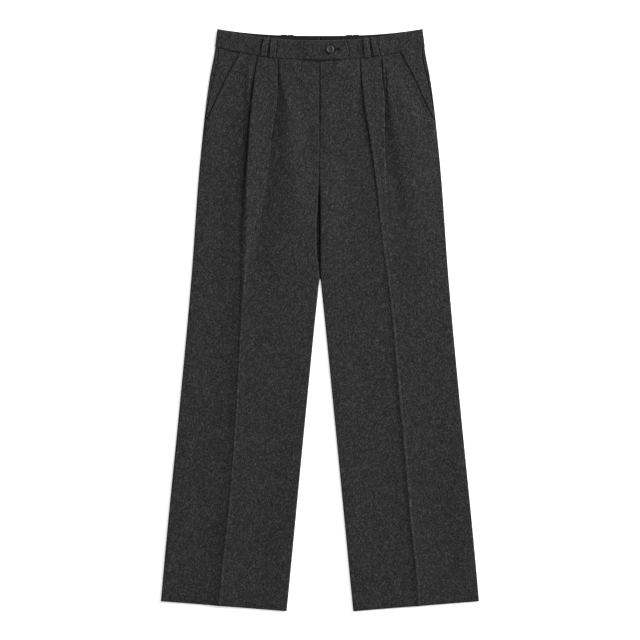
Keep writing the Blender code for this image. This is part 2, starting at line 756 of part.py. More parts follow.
def make_button(material):
    """A four-hole button with a raised rim, on the tab."""
    base = BAND_FRONT_Z + BAND_THICK * 2 + SEAM * 2
    mesh = bmesh.new()
    rings = []
    for radius, height in BUTTON_PROFILE:
        ring = []
        for k in range(BUTTON_SIDES):
            turned = 2 * math.pi * k / BUTTON_SIDES
            ring.append(mesh.verts.new((radius * BUTTON_RADIUS * math.cos(turned) * MM,
                                        radius * BUTTON_RADIUS * math.sin(turned) * MM,
                                        height * BUTTON_THICK * MM)))
        rings.append(ring)
    for lower, upper in zip(rings, rings[1:]):
        for k in range(BUTTON_SIDES):
            after = (k + 1) % BUTTON_SIDES
            mesh.faces.new((lower[k], lower[after], upper[after], upper[k]))
    mesh.faces.new(rings[0][::-1])
    mesh.faces.new(rings[-1])
    button = finish("button", mesh, material)
    button.location = (BUTTON_X * MM, BUTTON_Y * MM, base * MM)
    corners = ((-1, -1), (1, -1), (1, 1), (-1, 1))
    for index, (across, along) in enumerate(corners):
        drill = make_drill(index, (BUTTON_X + across * BUTTON_HOLE_OFFSET) * MM,
                           (BUTTON_Y + along * BUTTON_HOLE_OFFSET) * MM, base * MM)
        hole = button.modifiers.new(f"hole_{index}", "BOOLEAN")
        hole.operation = "DIFFERENCE"
        hole.object = drill


def make_drill(index, x, y, z):
    """The cutter of one thread hole."""
    mesh = bmesh.new()
    bmesh.ops.create_cone(mesh, cap_ends=True, segments=DRILL_SIDES, radius1=BUTTON_HOLE_R * MM,
                          radius2=BUTTON_HOLE_R * MM, depth=3 * BUTTON_THICK * MM)
    data = bpy.data.meshes.new(f"drill_{index}")
    mesh.to_mesh(data)
    mesh.free()
    drill = bpy.data.objects.new(f"drill_{index}", data)
    drill.location = (x, y, z)
    drill.hide_render = True
    drill.display_type = "WIRE"
    bpy.context.scene.collection.objects.link(drill)
    return drill


def main():
    for old in list(bpy.data.objects):
        bpy.data.objects.remove(old, do_unlink=True)

    def flannel(piece, which):
        return plain_material(f"flannel_{piece}_{which}", CHARCOAL, 0.95)

    for half in HALVES:
        make_back(half, flannel)
        make_front(half, flannel)
        make_facing(half, flannel)
        make_waistband(half, flannel)
    make_fly(flannel, plain_material("zip_metal", DARK_BRASS, 0.4, 1.0))
    make_belt_loops(flannel)
    make_button(plain_material("button_resin", DARK_HORN, 0.45))


main()
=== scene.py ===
"""Pleated dress trousers in melange flannel, laid flat with the front up.

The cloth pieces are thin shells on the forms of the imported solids: each row of a piece is a
section line in the x-z plane, moved out to both sides of the cloth. Sizes are millimetres
until a mesh is made. X points to the wearer's left, Y to the waistband, Z up from the table.
"u" is the distance from the centre line on either side, and "v" names a row by its Y there.
"""
from bisect import bisect_right
from functools import cache
from math import atan2, copysign, cos, dist, hypot, pi, radians, remainder, sin, sqrt

import bmesh
import bpy
from bpy.props import FloatProperty, FloatVectorProperty, PointerProperty
from bpy.types import Operator, Panel, PropertyGroup
from mathutils import Matrix, Vector, noise
from mathutils.bvhtree import BVHTree


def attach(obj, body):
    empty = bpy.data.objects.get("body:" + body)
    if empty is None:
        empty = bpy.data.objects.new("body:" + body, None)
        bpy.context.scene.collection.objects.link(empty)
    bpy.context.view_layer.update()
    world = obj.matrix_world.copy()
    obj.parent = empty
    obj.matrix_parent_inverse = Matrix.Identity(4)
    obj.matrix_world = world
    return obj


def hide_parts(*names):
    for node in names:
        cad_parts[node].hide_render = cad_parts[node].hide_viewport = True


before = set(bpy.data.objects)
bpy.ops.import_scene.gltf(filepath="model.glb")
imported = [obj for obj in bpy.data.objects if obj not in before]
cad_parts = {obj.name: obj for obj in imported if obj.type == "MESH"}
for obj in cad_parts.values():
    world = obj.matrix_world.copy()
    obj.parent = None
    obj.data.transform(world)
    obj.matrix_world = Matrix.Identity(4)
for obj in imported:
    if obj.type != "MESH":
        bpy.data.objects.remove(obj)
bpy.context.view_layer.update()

bl_info = {
    "name": "Pleated dress trousers",
    "version": (1, 0, 0),
    "blender": (4, 5, 0),
    "location": "3D View > Sidebar > Trousers",
    "description": "Builds flannel dress trousers with pleats, laid flat",
    "category": "Object",
}

BODY = "root"
MM = 0.001
UV_LAYER = "cloth"
WHITE = (1.0, 1.0, 1.0, 1.0)
CUT_APART = 1.7  # metres between the cuts of the two halves in the cloth's pattern
TINY = 1e-6

# Cloth and seams
CLOTH = 1.0  # thickness of one layer of flannel
SEAM = 0.3  # clearance between two sewn pieces
HEM_TURNUP = 38.0  # depth of the turned-up hem
HEM_EXTRA = 0.9  # what the turned-up layer adds inside the leg

# Outline of the laid garment, from its middle
TOP_Y = 529.6
HEM_INNER_Y, HEM_OUTER_Y = -529.6, -511.4
HEM_INNER_U, HEM_OUTER_U = 60.4, 289.6
CROTCH_Y = 76.0
WAIST_V = 472.65

# Waistband
BAND_THICK = 2.4  # outer cloth, stiffener and inner cloth
BAND_BACK_Z = 1.3  # underside of the back half, which lies on the back belt loops
BAND_FRONT_Z = BAND_BACK_Z + BAND_THICK + SEAM
BAND_TURN_R = (BAND_FRONT_Z - BAND_BACK_Z) / 2
BAND_SEAT_U = -0.02  # the halves meet at the seat seam
BAND_OVER = 0.45  # the seam's edge lies over the cloth below
BAND_SIDE_BOTTOM_U, BAND_SIDE_TOP_U = 191.0, 186.7
FRONT_SEAM_Y, FRONT_SEAM_RISE = 472.8, 24.1  # waist seam, and how far it climbs to the side
BACK_SEAM_Y, BACK_SEAM_RISE = 481.9, 15.0
FRONT_TOP_Y, BACK_TOP_Y = 507.8, 516.9
BACK_TOP_POWER = 2.6
TAB_TIP_X = 52.8  # the right end laps over the left one
TAB_TIP_HEIGHT = 0.43  # height of the tip, as a share of the band's width
TAB_CORNER = 13.5  # how far the rounded lower corner pulls back
TAB_TOP_SLANT = 6.8
TAB_LEVEL_X, TAB_RAISED_X = -42.0, -16.5  # the right end climbs over the left one
UNDERLAP_END_X = -15.0
BAND_ROWS = 34
BAND_RIPPLE, BAND_RIPPLE_SIZE = 0.35, (28.0, 22.0)
BAND_TOP_ROLL, BAND_TOP_REACH = 1.2, 2.6  # the front's top edge rolls down
PRESS_DEPTH, PRESS_REACH = 1.5, 1.5  # the waistband beside what is sewn on it
BUTTON_PRESS_REACH = 2.2

# Turned edges of the legs and hips
EDGE_R = 1.95  # radius of the side folds at the middle of the cloth
EDGE_RUN = 2.0  # shortest stretch of an edge that can curl
LEG_CURL = 57.7  # how far the front turns down to meet the inseam
FOLDED_LEVEL = CLOTH / 2 + 2 * EDGE_R  # middle of the cloth on top of a side fold
LIFT_Y = (400.0, 470.0)  # the hips climb from the table to the back of the waistband
GRAIN_FADE = 150.0  # along the leg, from rows that follow an edge to level ones
CROSSING_ROUNDS, MEETING_ROUNDS = 4, 20  # to settle where a row crosses or meets a line
CREVICE_FOOT = 2.2
EDGE_DROP_MIN, EDGE_DROP_POWER = 0.3, 4
EDGE_DROP_V = (66.0, 86.0)  # the fronts' edges hang down from here up

# Pleats
PITCH = CLOTH + SEAM  # layer to layer in a folded pleat
FOLD_R = PITCH / 2
STRIP_SAG = 0.5  # how far a pleat's strip sags between its two folds

# Slant pockets
POCKET_END_V = 360.2
POCKET_STEP_V = (POCKET_END_V + 0.8, POCKET_END_V - 0.8)  # rows beside the step at its end
FACING_OVERLAP = 10.0  # how far the facing runs on under the front
FACING_LEVEL, FACING_RISE = 2.2, 14.0
FACING_END_V = 362.0

# Fly shield, which narrows to its lower end
SHIELD_X = (-34.0, 6.0)
SHIELD_LEVEL = 1.8
SHIELD_TAPER, SHIELD_TAPER_Y = 0.45, (318.0, 298.0)
SHIELD_END_V = 298.0

# Belt loops: centre line at the top and the bottom of the waistband, away from the centre
LOOPS = {
    "front": {"inner": (83.5, 86.5), "outer": (96.5, 103.0)},
    "back": {"inner": (53.4, 53.8), "outer": (65.4, 66.4)}}
LOOP_WIDTH, LOOP_THICK = 11.0, 1.2
LOOP_BULGE = {"front": 1.6, "back": 0.0}  # how far a loop arches away from the waistband
LOOP_PROUD = {"front": 0.5, "back": 1.8}  # how far it stands over the top edge
LOOP_EDGE_RISE, LOOP_EDGE_POWER, LOOP_EDGE_SHARE = 0.16, 4, 0.2  # its edges curl up

# Button, and the buttonhole beside it
BUTTON_X, BUTTON_Y = 18.2, 491.2
BUTTON_RADIUS, BUTTON_THICK = 7.5, 2.6
BUTTON_SIDES = 72
BUTTON_SHARP = 50.0  # degrees
BUTTON_RINGS = (  # from the underside to the top face: radius and height, as shares
    (0.50, 0.00), (0.80, 0.05), (0.93, 0.18), (1.00, 0.38), (1.00, 0.50), (0.97, 0.66),
    (0.91, 0.80), (0.84, 0.91), (0.77, 0.98), (0.70, 1.00), (0.635, 0.97), (0.58, 0.88),
    (0.535, 0.79), (0.48, 0.74))
HOLE_OFFSET = 1.35  # from the button's middle to its holes, along and across
HOLE_R, HOLE_SIDES = 0.8, 20
DRILL_ENDS = (-1.5, 1.5)  # in the button's thickness
THREAD_RADIUS, THREAD_ARCH = 0.36, 2.2
BUTTONHOLE_X = (27.0, 35.6)
BUTTONHOLE_HALF_WIDTH, BUTTONHOLE_DEPTH = 0.8, 1.7
BUTTONHOLE_FALL = (0.5, 0.8)  # flat bottom and slope, in half widths
BUTTONHOLE_GAP = 0.01  # from the other rows, as a share of the band's height
BUTTONHOLE_ROWS = (-2.2, -1.5, -1.0, -0.6, -0.25, 0.0, 0.25, 0.6, 1.0, 1.5, 2.2)
PURL_STITCHES, PURL_FAN = 19, 7  # on each side of the buttonhole, and round each end
PURL_LENGTH, PURL_THICK = 0.9, 1.4

# Lines of stitching on the cloth
J_STITCH = ((-35.5, 470.0), (-35.5, 352.0), (-33.8, 336.0), (-29.0, 321.0), (-21.5, 309.5),
            (-12.7, 303.2), (-1.9, 298.4))
J_TACK, J_TACK_INSET = (2.4, 6.0), 2.0
POCKET_STITCH_INSET = 6.6
POCKET_STITCH_Y, POCKET_STITCH_STEPS = (366.0, 480.0), 20
POCKET_TACK = (3.0, 5.0)
LOOP_STITCH_X = 4.0  # from the middle of a belt loop
LOOP_STITCH_ROWS = 6  # rows between a loop's end and its bar tack
LOOP_TACK = (9.0, 1.6)

# Steps along a section, and the spacing of the rows
TAIL_STEPS, DROP_STEPS, ARC_STEPS = 4, 3, 8
RUN_STEPS, STRIP_STEPS, SIDE_STEPS = 52, 14, 22
RUN_CROWDING = 0.62  # how much shorter the steps are at both ends of a run
BAND_BACK_STEPS, BAND_TURN_STEPS, BAND_FRONT_STEPS, BAND_END_STEPS = 40, 16, 150, 110
LOOP_STEPS, SHIELD_STEPS = 26, 16
ROW_SPACING, LEG_ROW_SPACING = 4.0, 8.0
RIM_STOPS = (0.06, 0.3, 0.75)  # from a piece's edge, as shares of half its thickness
RIM_EXTRA = (2.0, 4.2, 6.8)  # more rows just below the waist seam
RIM_MIN = 0.16
MOST_MITRE, MIN_COSINE = 1.8, 0.1  # at a sharp bend of a section line

# Studio: sizes in metres, directions in degrees round from +X and up from the floor
FLOOR_SIZE, FLOOR_CELLS, FLOOR_GAP = 10.0, 8, 0.0004
FRAME_WIDTH = 1.165
SENSOR, CLIP_END = 36.0, 50.0
KEY_SPREAD, KEY_DIRECTION = 34.0, (30.0, 23.0)
FILL_SIZE, FILL_PLACE = 0.6, (0.8, 0.6, 1.5)

# Materials
# painted light: the belt loops' flannel is coloured lighter, for the light the raised loops catch
LOOP_PAINTED_LIGHT = 1.18
# partly painted shade: the buttonhole's silk is made near black, for the shade in the
# buttonhole's slit
SILK_PAINTED_SHADE, SILK_SHINE = 0.1, 0.05  # the buttonhole's thread against the sewing thread


def ease(t):
    """0 to 1 with a level start and end."""
    t = min(1.0, max(0.0, t))
    return t * t * (3 - 2 * t)


def climb(x, start, end):
    """0 at the start, 1 at the end, and level beyond both; the end may be the lower one."""
    return ease((x - start) / (end - start))


def fall(distance, flat, reach, crisp=0.0):
    """1 within the flat stretch, then down to 0 over the reach; a crisp fall starts steeply."""
    t = min(1.0, max(0.0, (distance - flat) / reach))
    return 1 - (1 - crisp) * ease(t) - crisp * t * (2 - t)


def bump(distance, reach):
    """1 on a line, soft down to 0 at its reach."""
    return 0.5 + 0.5 * cos(pi * min(1.0, abs(distance) / reach))


def lerp(a, b, share):
    """From a to b by a share."""
    return a + (b - a) * share


def spread(start, end, steps, crowding=0.0):
    """A run cut into steps, which may be shorter towards both ends."""
    turn = 2 * pi
    return [lerp(start, end, k / steps - crowding * sin(turn * k / steps) / turn)
            for k in range(steps + 1)]


class Curve:
    """A smooth curve through the rows of a table, with no overshoot between them."""

    def __init__(self, at, values):
        self.at = at
        self.values = values
        rises = [(values[k + 1] - values[k]) / (at[k + 1] - at[k]) for k in range(len(at) - 1)]
        self.slopes = [rises[0]]
        for before, after in zip(rises, rises[1:]):
            level = before * after <= 0
            self.slopes.append(0.0 if level else 2 * before * after / (before + after))
        self.slopes.append(rises[-1])

    def __call__(self, x):
        x = min(self.at[-1], max(self.at[0], x))
        k = min(bisect_right(self.at, x), len(self.at) - 1) - 1
        span = self.at[k + 1] - self.at[k]
        t = (x - self.at[k]) / span
        return (lerp(self.values[k], self.values[k + 1], ease(t))
                + span * t * (1 - t) * (self.slopes[k] * (1 - t) - self.slopes[k + 1] * t))


class Table:
    """Named columns over the first one, each read as a smooth curve."""

    def __init__(self, names, *rows):
        at, *columns = zip(*sorted(rows))
        self.curves = [Curve(at, column) for column in columns]
        for name, curve in zip(names.split()[1:], self.curves):
            setattr(self, name, curve)

    def __call__(self, x):
        """All the columns' values at a place."""
        return [curve(x) for curve in self.curves]


# Half-width of the laid garment
OUTLINE = Table(
    "y half_width",
    (529.6, 186.7),
    (487.8, 191.4),
    (444, 199.8),
    (400.4, 206.2),
    (342.2, 212.8),
    (254.8, 221.1),
    (80.1, 233.7),
    (-152.9, 255),
    (-385.8, 278.1),
    (HEM_OUTER_Y, HEM_OUTER_U))

# Inner edge of each front: at the fly the left front runs on under the right one, then
# both dive into the crevice of the crotch. "curl" is how far the edge turns down, in degrees.
INNER_EDGE = Table(
    "y right left curl",
    (472.8, 1.7, -8, 0),
    (328, 1.7, -8, 0),
    (312, 1.5, -1.2, 0),
    (278, 1.5, -1.2, 0),
    (252, 2, -0.7, 40),
    (228, 3.2, 0, 90),
    (204, 4.4, 0.3, 90),
    (180, 6.4, 0.4, 90),
    (130, 6.4, 0.4, 90),
    (CROTCH_Y, 0.9, 0.9, 66),
    (50, 3.5, 3.5, LEG_CURL),
    (HEM_INNER_Y, HEM_INNER_U, HEM_INNER_U, LEG_CURL))

# How far the inner edge of each back turns up: flat at the seat seam, round on the legs
BACK_EDGE = Table(
    "y edge curl",
    (481.9, -0.1, 0),
    (CROTCH_Y, -0.1, 0),
    (66, 1.7, 60),
    (50, 3.5, 113.5),
    (HEM_INNER_Y, HEM_INNER_U, 113.5))

# Where the side seam lies past the side fold, measured along the cloth on the front
SIDE_SEAM = Table(
    "y past_fold",
    (496.9, 5.1),
    (466, 8.1),
    (437, 6.1),
    (384, 2.8),
    (342, 0.8),
    (HEM_INNER_Y, 0.8))

POCKET = Table("y mouth", (490, 142.9), (428, 175.6), (367, 204), (361, 207.6))

# The two pleats of each front turn away from each other under a raised strip. One of them
# runs on as the leg's crease.
SIDES = {"right": -1, "left": 1}  # sign of X
CREASED = {"right": "outer", "left": "inner"}  # the pleat that becomes the crease
FOLDS = {
    "right": Table(
        "y inner outer",
        (475, 77.9, 113.2),
        (429.5, 77.6, 120.3),
        (398.6, 78.8, 123.8),
        (358.5, 85, 127.8),
        (298.5, 92.5, 131.6),
        (229.3, 101.9, 137.2),
        (147.4, 117, 141.6),
        (67.3, 130, 142.7),
        (-15, 136, 145.9),
        (-145.6, 143, 152),
        (-254.8, 150, 159.6),
        (-364, 159, 169.4),
        (-473, 170, 181),
        (HEM_INNER_Y, 174, 185)),
    "left": Table(
        "y inner outer",
        (475, 73.6, 110.6),
        (445, 75.8, 112),
        (424, 77.6, 114.6),
        (398.6, 79.8, 117),
        (358.5, 86, 117.2),
        (298.5, 95.6, 117.6),
        (229.3, 104, 119.6),
        (187.5, 108, 122),
        (127.4, 115, 127.5),
        (67, 123.2, 135),
        (-15, 132.3, 143.5),
        (-145.6, 143.2, 154),
        (-254.8, 154.2, 165),
        (-364, 163.1, 174),
        (-482, 175.8, 187),
        (HEM_INNER_Y, 178.5, 189.5))}

# Each pleat laps over by "lap" and turns back by "turn" degrees: 180 is folded flat, and a
# few degrees are a soft slope. One pleat of a front becomes the crease, the other fades.
PLEATS = Table(
    "v crease_lap crease_turn fade_lap fade_turn",
    (472.8, 15, 180, 15, 180),
    (400, 9, 180, 7, 180),
    (345, 4.5, 180, 2, 180),
    (328, 3, 180, 0.9, 170),
    (298, 0.9, 170, 0.5, 110),
    (278, 0.5, 140, 0.4, 70),
    (252, 0.4, 88, 0.4, 40),
    (228, 0.4, 62, 0.4, 24),
    (195, 0.4, 40, 0.4, 14),
    (150, 0.4, 28, 0.4, 9),
    (120, 0.4, 26, 0.4, 8),
    (50, 0.4, 28, 0.4, 5),
    (HEM_INNER_Y, 0.4, 24, 0.4, 5))

# Heights of the middle of the cloth above the table, from the centre to the side, before
# the hips climb to the waistband. The pleats puff the strip up below the waist.
LEVELS = {
    "right": Table(
        "v fly flat_in base_in strip_in strip_out base_out flat_out",
        (472.8, 4.7, 4.3, 1.8, 4.4, 4.4, 1.8, 4.2),
        (440, 5.4, 5, 1.8, 5.4, 5.6, 1.8, 3.6),
        (400, 6, 7, 1.8, 6.2, 8, 1.9, 2.6),
        (345, 6.2, 9.6, 2.4, 6.6, 10.8, 3.4, 2.3),
        (290, 6.2, 10.4, 4, 5.4, 11.2, 4.2, 2.2),
        (250, 6.6, 10.6, 4.4, 5, 11, 4.4, 2.2),
        (205, 7.4, 10.4, 4.4, 5, 10.2, 4.4, 2.2),
        (160, 7.8, 9.4, 4.2, 4.9, 9, 4.4, 2.2),
        (CROTCH_Y, 5.8, 6.6, 4.4, 4.8, 6.8, 4, 2.4),
        (50, 4.8, 5.8, 4.3, 4.7, 6.4, 4, 2.4),
        (-100, 4.4, 3.8, 3.4, 3.7, 4.3, 3.4, 2.4),
        (-400, 4.4, 2.6, 2.8, 3, 3.9, 3, 2.3),
        (-488, 4.4, 3.4, 3.7, 3.8, 4.5, 3.7, 3.3),
        (HEM_INNER_Y, 4.4, 3.6, 3.9, 4, 4.5, 4.2, 3.6)),
    "left": Table(
        "v fly flat_in base_in strip_in strip_out base_out flat_out",
        (472.8, 3.1, 4.3, 1.8, 4.4, 4.4, 1.8, 4.2),
        (440, 3.2, 4.9, 2.2, 5.4, 5.2, 1.8, 5),
        (400, 3.3, 4.9, 3.4, 7.2, 6.2, 1.8, 6.6),
        (345, 3.6, 4.6, 4.4, 8.4, 7, 2.2, 8),
        (312, 5.2, 4.2, 5, 8.4, 6.8, 2.8, 8.6),
        (290, 6, 4, 5.2, 8, 6.4, 3.2, 8.6),
        (250, 7.4, 3.9, 5.4, 7.4, 5.8, 3.6, 8.4),
        (205, 8.4, 3.8, 5.2, 6.8, 5.2, 4, 7.8),
        (160, 8.4, 3.7, 4.8, 6, 4.9, 4.2, 7),
        (CROTCH_Y, 5.8, 3.7, 4.2, 5.3, 4.5, 4.2, 5.4),
        (50, 4.6, 3.6, 4, 5.2, 4.5, 4.2, 5.1),
        (-100, 4.4, 3.4, 3.4, 4.8, 3.8, 3.6, 3.8),
        (-400, 4.4, 2.6, 2.9, 4.4, 3.2, 3, 2.6),
        (-488, 4.4, 3.4, 3.5, 4.7, 4, 3.9, 3.5),
        (HEM_INNER_Y, 4.4, 3.6, 4.1, 4.6, 4.1, 4.1, 3.6))}

# Flat shoulder beside each edge of a front, and the slope beyond it
SHOULDERS = Table(
    "v right reach_right left reach_left outer reach_out",
    (472.8, 34, 22, 5.1, 1.3, 11, 30),
    (400, 24, 30, 5.1, 1.3, 6, 36),
    (328, 12, 42, 5.1, 1.6, 2, 40),
    (312, 10, 42, 10, 26, 1.5, 44),
    (290, 8, 40, 8, 34, 1, 48),
    (228, 1, 36, 1, 50, 1, 52),
    (HEM_INNER_Y, 1, 55, 1, 55, 1, 55))

# Groove beside each fold line: its level bottom, then the slope up to the flat
GROOVES = {
    "right": Table(
        "v bottom_in slope_in bottom_out slope_out",
        (472.8, 0.5, 3.4, 0.6, 3.6),
        (440, 0.5, 6, 0.8, 8),
        (400, 0.4, 20, 1.2, 24),
        (345, 0.4, 34, 1, 42),
        (290, 0.4, 44, 1, 50),
        (228, 0.4, 54, 1, 52),
        (120, 0.4, 54, 1, 46),
        (HEM_INNER_Y, 3, 30, 1, 44)),
    "left": Table(
        "v bottom_in slope_in bottom_out slope_out",
        (472.8, 0.6, 3.2, 0.5, 3.2),
        (440, 0.8, 5, 0.4, 4),
        (400, 1.4, 20, 0.4, 9),
        (345, 2, 30, 0.4, 21),
        (290, 2, 32, 0.4, 34),
        (250, 2, 34, 0.4, 46),
        (205, 2, 34, 0.4, 52),
        (120, 1, 36, 0.4, 50),
        (HEM_INNER_Y, 1, 44, 3, 30))}
CRISP = {"right": (0.5, 0.0), "left": (0.0, 0.5)}  # start of the inner and the outer slope

# Soft hills and troughs of each front beside its pleats
HILL = "y at reach height"
HILLS = {
    "right": (
        Table(HILL, (345, 134, 9, 0), (370, 132.5, 9, 1.2), (400, 131, 9, 2.2),
              (430, 130, 8.5, 1.8), (455, 128.5, 8, 0.8), (470, 127, 8, 0)),),
    "left": (
        Table(HILL, (396, 121, 2.6, 0), (410, 120.6, 2.6, -1.6), (440, 119.6, 2.5, -2.2),
              (452, 119, 2.4, -1.6), (462, 118.6, 2.2, 0)),
        Table(HILL, (150, 158, 18, 0), (200, 145, 16, -0.8), (240, 139, 15, -1),
              (285, 134, 14, -1), (318, 130, 12, 0)),
        Table(HILL, (290, 14, 30, 0), (320, 14, 30, 1.2), (360, 14, 30, 1.2),
              (400, 14, 30, 0.7), (440, 14, 30, 0)))}

# Underside: darts pressed into each back, and the leg's back crease
BACK_MARKS = (
    Table(HILL, (372, 92, 3, 0), (384, 92, 3, 0.22), (481, 88, 3, 0.25)),
    Table(HILL, (-529.6, 174, 5, 0.2), (40, 128, 5, 0.2), (200, 118, 6, 0)))

# The pressed crease of each leg: a ridge along the fold that runs on as the crease
CREASE = Table(
    "y right left",
    (290, 0, 0),
    (200, 0.4, 0.4),
    (100, 1.3, 0.9),
    (0, 2.1, 1.3),
    (-140, 2.6, 1.5),
    (-400, 2.6, 1.8),
    (HEM_INNER_Y, 2.3, 1.5))
CREASE_SHARP = {"right": 0.9, "left": 0.6}  # share of the ridge's height that is sharp
CREASE_REACH = {"right": (19.0, 80.0), "left": (8.0, 5.5)}  # of that part, to -X and +X
CREASE_CRISP = {"right": 0.7, "left": 0.0}
CREASE_FOOT = 30.0

# Broad unevenness of cloth that has been worn and laid down: (size along x, along y, height)
RIPPLES = ((46.0, 95.0, 0.55), (19.0, 34.0, 0.18))
RIPPLE_SEED, BAND_SEED = 3.0, 9.0
RIPPLE_FREE = (2.0, 16.0)  # from an edge, where hills and ripples begin and are full
LOWEST_FRONT = 1.72  # middle of a front where it lies on the back

# Where the cloth is drawn in: how deep, how far to each side, and from which row to which
WAIST_DIP, WAIST_DIP_REACH = {"right": 1.3, "left": 1.0}, 2.8
WAIST_LOOSE = 2.5  # cloth this far above the back can be drawn in fully
SEAM_DIP, SEAM_DIP_REACH = {"right": 0.9, "left": 2.6}, 1.5  # fly seam below the zip
SEAM_DIP_FOOT, SEAM_DIP_TOP = (250.0, 280.0), (356.0, 332.0)
SEAM_U = -1.2
FLY_DIP, FLY_DIP_REACH = 1.5, 1.3  # the left front beside the fly's edge
FLY_DIP_U, FLY_DIP_V = -0.3, (332.0, 356.0)
FLY_END_DIP, FLY_END_V = 1.5, (314.0, 305.0)  # deeper at the lower end of the fly
SIDE_DIP, SIDE_DIP_REACH = {"right": 0.8, "left": 1.3}, 2.0  # side seam above the leg
SIDE_DIP_V, SIDE_DIP_Z = (345.0, 372.0), (-1.4, 0.0)
STITCH_DIP, STITCH_DIP_REACH = 0.3, 2.2
MOUTH_LIP = {"right": 0.7, "left": 3.2}  # the facing stands up beside the pocket's mouth,
MOUTH_EDGE = {"right": 1.6, "left": 0.4}  # and so does the front's edge
MOUTH_LIP_REACH, MOUTH_EDGE_FALL = (0.3, 3.3), (1.0, 12.0)
MOUTH_EDGE_V = (POCKET_END_V, POCKET_END_V + 20.0)
POCKET_STEP, POCKET_STEP_FADE = 1.3, (POCKET_END_V - 60.0, POCKET_END_V)  # below its end
POCKET_STEP_OUT, POCKET_STEP_IN = (0.0, 5.0), (40.0, 10.0)


class Grain:
    """Rows of a panel: level lines that bend up to the waist seam and slant to the hem."""

    def __init__(self, seam_y, rise):
        self.seam_y = seam_y
        self.rise = rise

    def y(self, v, u):
        """Y of row v at the distance u from the centre."""
        waist = climb(v, self.seam_y - GRAIN_FADE, self.seam_y)
        hem = climb(v, HEM_INNER_Y + GRAIN_FADE, HEM_INNER_Y)
        hem_rise = (HEM_OUTER_Y - HEM_INNER_Y) * (u - HEM_INNER_U) / (HEM_OUTER_U - HEM_INNER_U)
        return v + waist * self.rise * (u / BAND_SIDE_BOTTOM_U) ** 2 + hem * hem_rise

    def place(self, curve, v):
        """Where this row crosses a line that a table gives by y."""
        u = curve(v)
        for _ in range(CROSSING_ROUNDS):
            u = curve(self.y(v, u))
        return u


FRONT_GRAIN = Grain(FRONT_SEAM_Y, FRONT_SEAM_RISE)
BACK_GRAIN = Grain(BACK_SEAM_Y, BACK_SEAM_RISE)


def back_row(v):
    """The row of the back that meets this row of the front at the side."""
    side = FRONT_GRAIN.place(OUTLINE.half_width, v)
    meeting = v
    for _ in range(MEETING_ROUNDS):
        meeting += FRONT_GRAIN.y(v, side) - BACK_GRAIN.y(meeting, side)
    return meeting


def lift(y):
    """How far the cloth of the hips has climbed towards the back of the waistband."""
    return BAND_BACK_Z * climb(y, *LIFT_Y)


def arc(start, heading, turn, radius, steps):
    """Points of an arc after its start, as (u, z); a positive turn goes to the left."""
    radius = copysign(radius, turn)
    headings = [heading + turn * k / steps for k in range(1, steps + 1)]
    return [(start[0] + radius * (sin(now) - sin(heading)),
             start[1] + radius * (cos(heading) - cos(now))) for now in headings]


def curl(start, heading, turn):
    """An edge that turns up or down to its end."""
    turn = copysign(max(TINY, abs(turn)), turn)
    radius = max(EDGE_RUN / abs(turn), EDGE_R)
    return arc(start, heading, turn, radius, TAIL_STEPS)


def inner_start(edge, angle):
    """Where an inner edge begins to curl, so that the cloth ends at the given edge."""
    full = min(1.0, angle / radians(LEG_CURL))
    return edge + EDGE_RUN + full * (CLOTH / 2 + EDGE_R - EDGE_RUN)


def side_fold(v):
    """Top of the side fold and how far past it the side seam lies."""
    top = FRONT_GRAIN.place(OUTLINE.half_width, v) - CLOTH / 2 - EDGE_R
    return top, SIDE_SEAM.past_fold(FRONT_GRAIN.y(v, top))


def seam_edge(v):
    """Start and turn of the cloth that meets the side seam from the front."""
    top, past = side_fold(v)
    left = EDGE_R * pi / 2 - past - SEAM
    down = max(0.0, left)
    return top + min(0.0, left) - max(0.0, EDGE_RUN - down), down / EDGE_R


def facing_level(v, u):
    """Height of the pocket facing: low under the front, up to the fold at the side seam."""
    return lerp(FACING_LEVEL, FOLDED_LEVEL, fall(side_fold(v)[0] - u, 0.0, FACING_RISE))


def sag(start, end, flat, near, far):
    """The inner points of cloth that runs from start to end and sags to a flat level.

    near and far give the shoulder beside each end: how far it stays level, then its slope
    and how crisp that starts.
    """
    points = []
    for u in spread(start[0], end[0], RUN_STEPS, RUN_CROWDING)[1:-1]:
        first, last = fall(u - start[0], *near), fall(end[0] - u, *far)
        direct = lerp(start[1], end[1], climb(u, start[0], end[0]))
        points.append((u, lerp(lerp(flat, start[1], first), lerp(end[1], direct, first), last)))
    return points


def fold_step(lap, turn, rise):
    """One pleat fold that climbs by "rise" from the layer below to the strip above.

    Returns its points from (0, 0) and how far its start lies from the visible fold line.
    """
    angle = radians(turn)
    run, up = lap * cos(angle), lap * sin(angle)
    radius = max(FOLD_R, (rise - up) / (2 - 2 * cos(angle)))
    points = arc((0.0, 0.0), 0.0, angle, radius, ARC_STEPS)
    points.append((points[-1][0] + run, points[-1][1] + up))
    points += arc(points[-1], angle, -angle, radius, ARC_STEPS)
    if turn >= 90:
        return points, radius - 2 * radius * sin(angle) - run
    return points, -radius * sin(angle) - run / 2


def edge_drop(end, angle, v):
    """The rest of a front's edge in the crotch's crevice, where it hangs down to the back."""
    u, z = end
    hangs = sin(angle) ** EDGE_DROP_POWER * climb(v, *EDGE_DROP_V)
    length = EDGE_DROP_MIN + hangs * max(0.0, z - CREVICE_FOOT)
    return [(u - way * cos(angle), z - way * sin(angle))
            for way in spread(0.0, length, DROP_STEPS)[1:]]


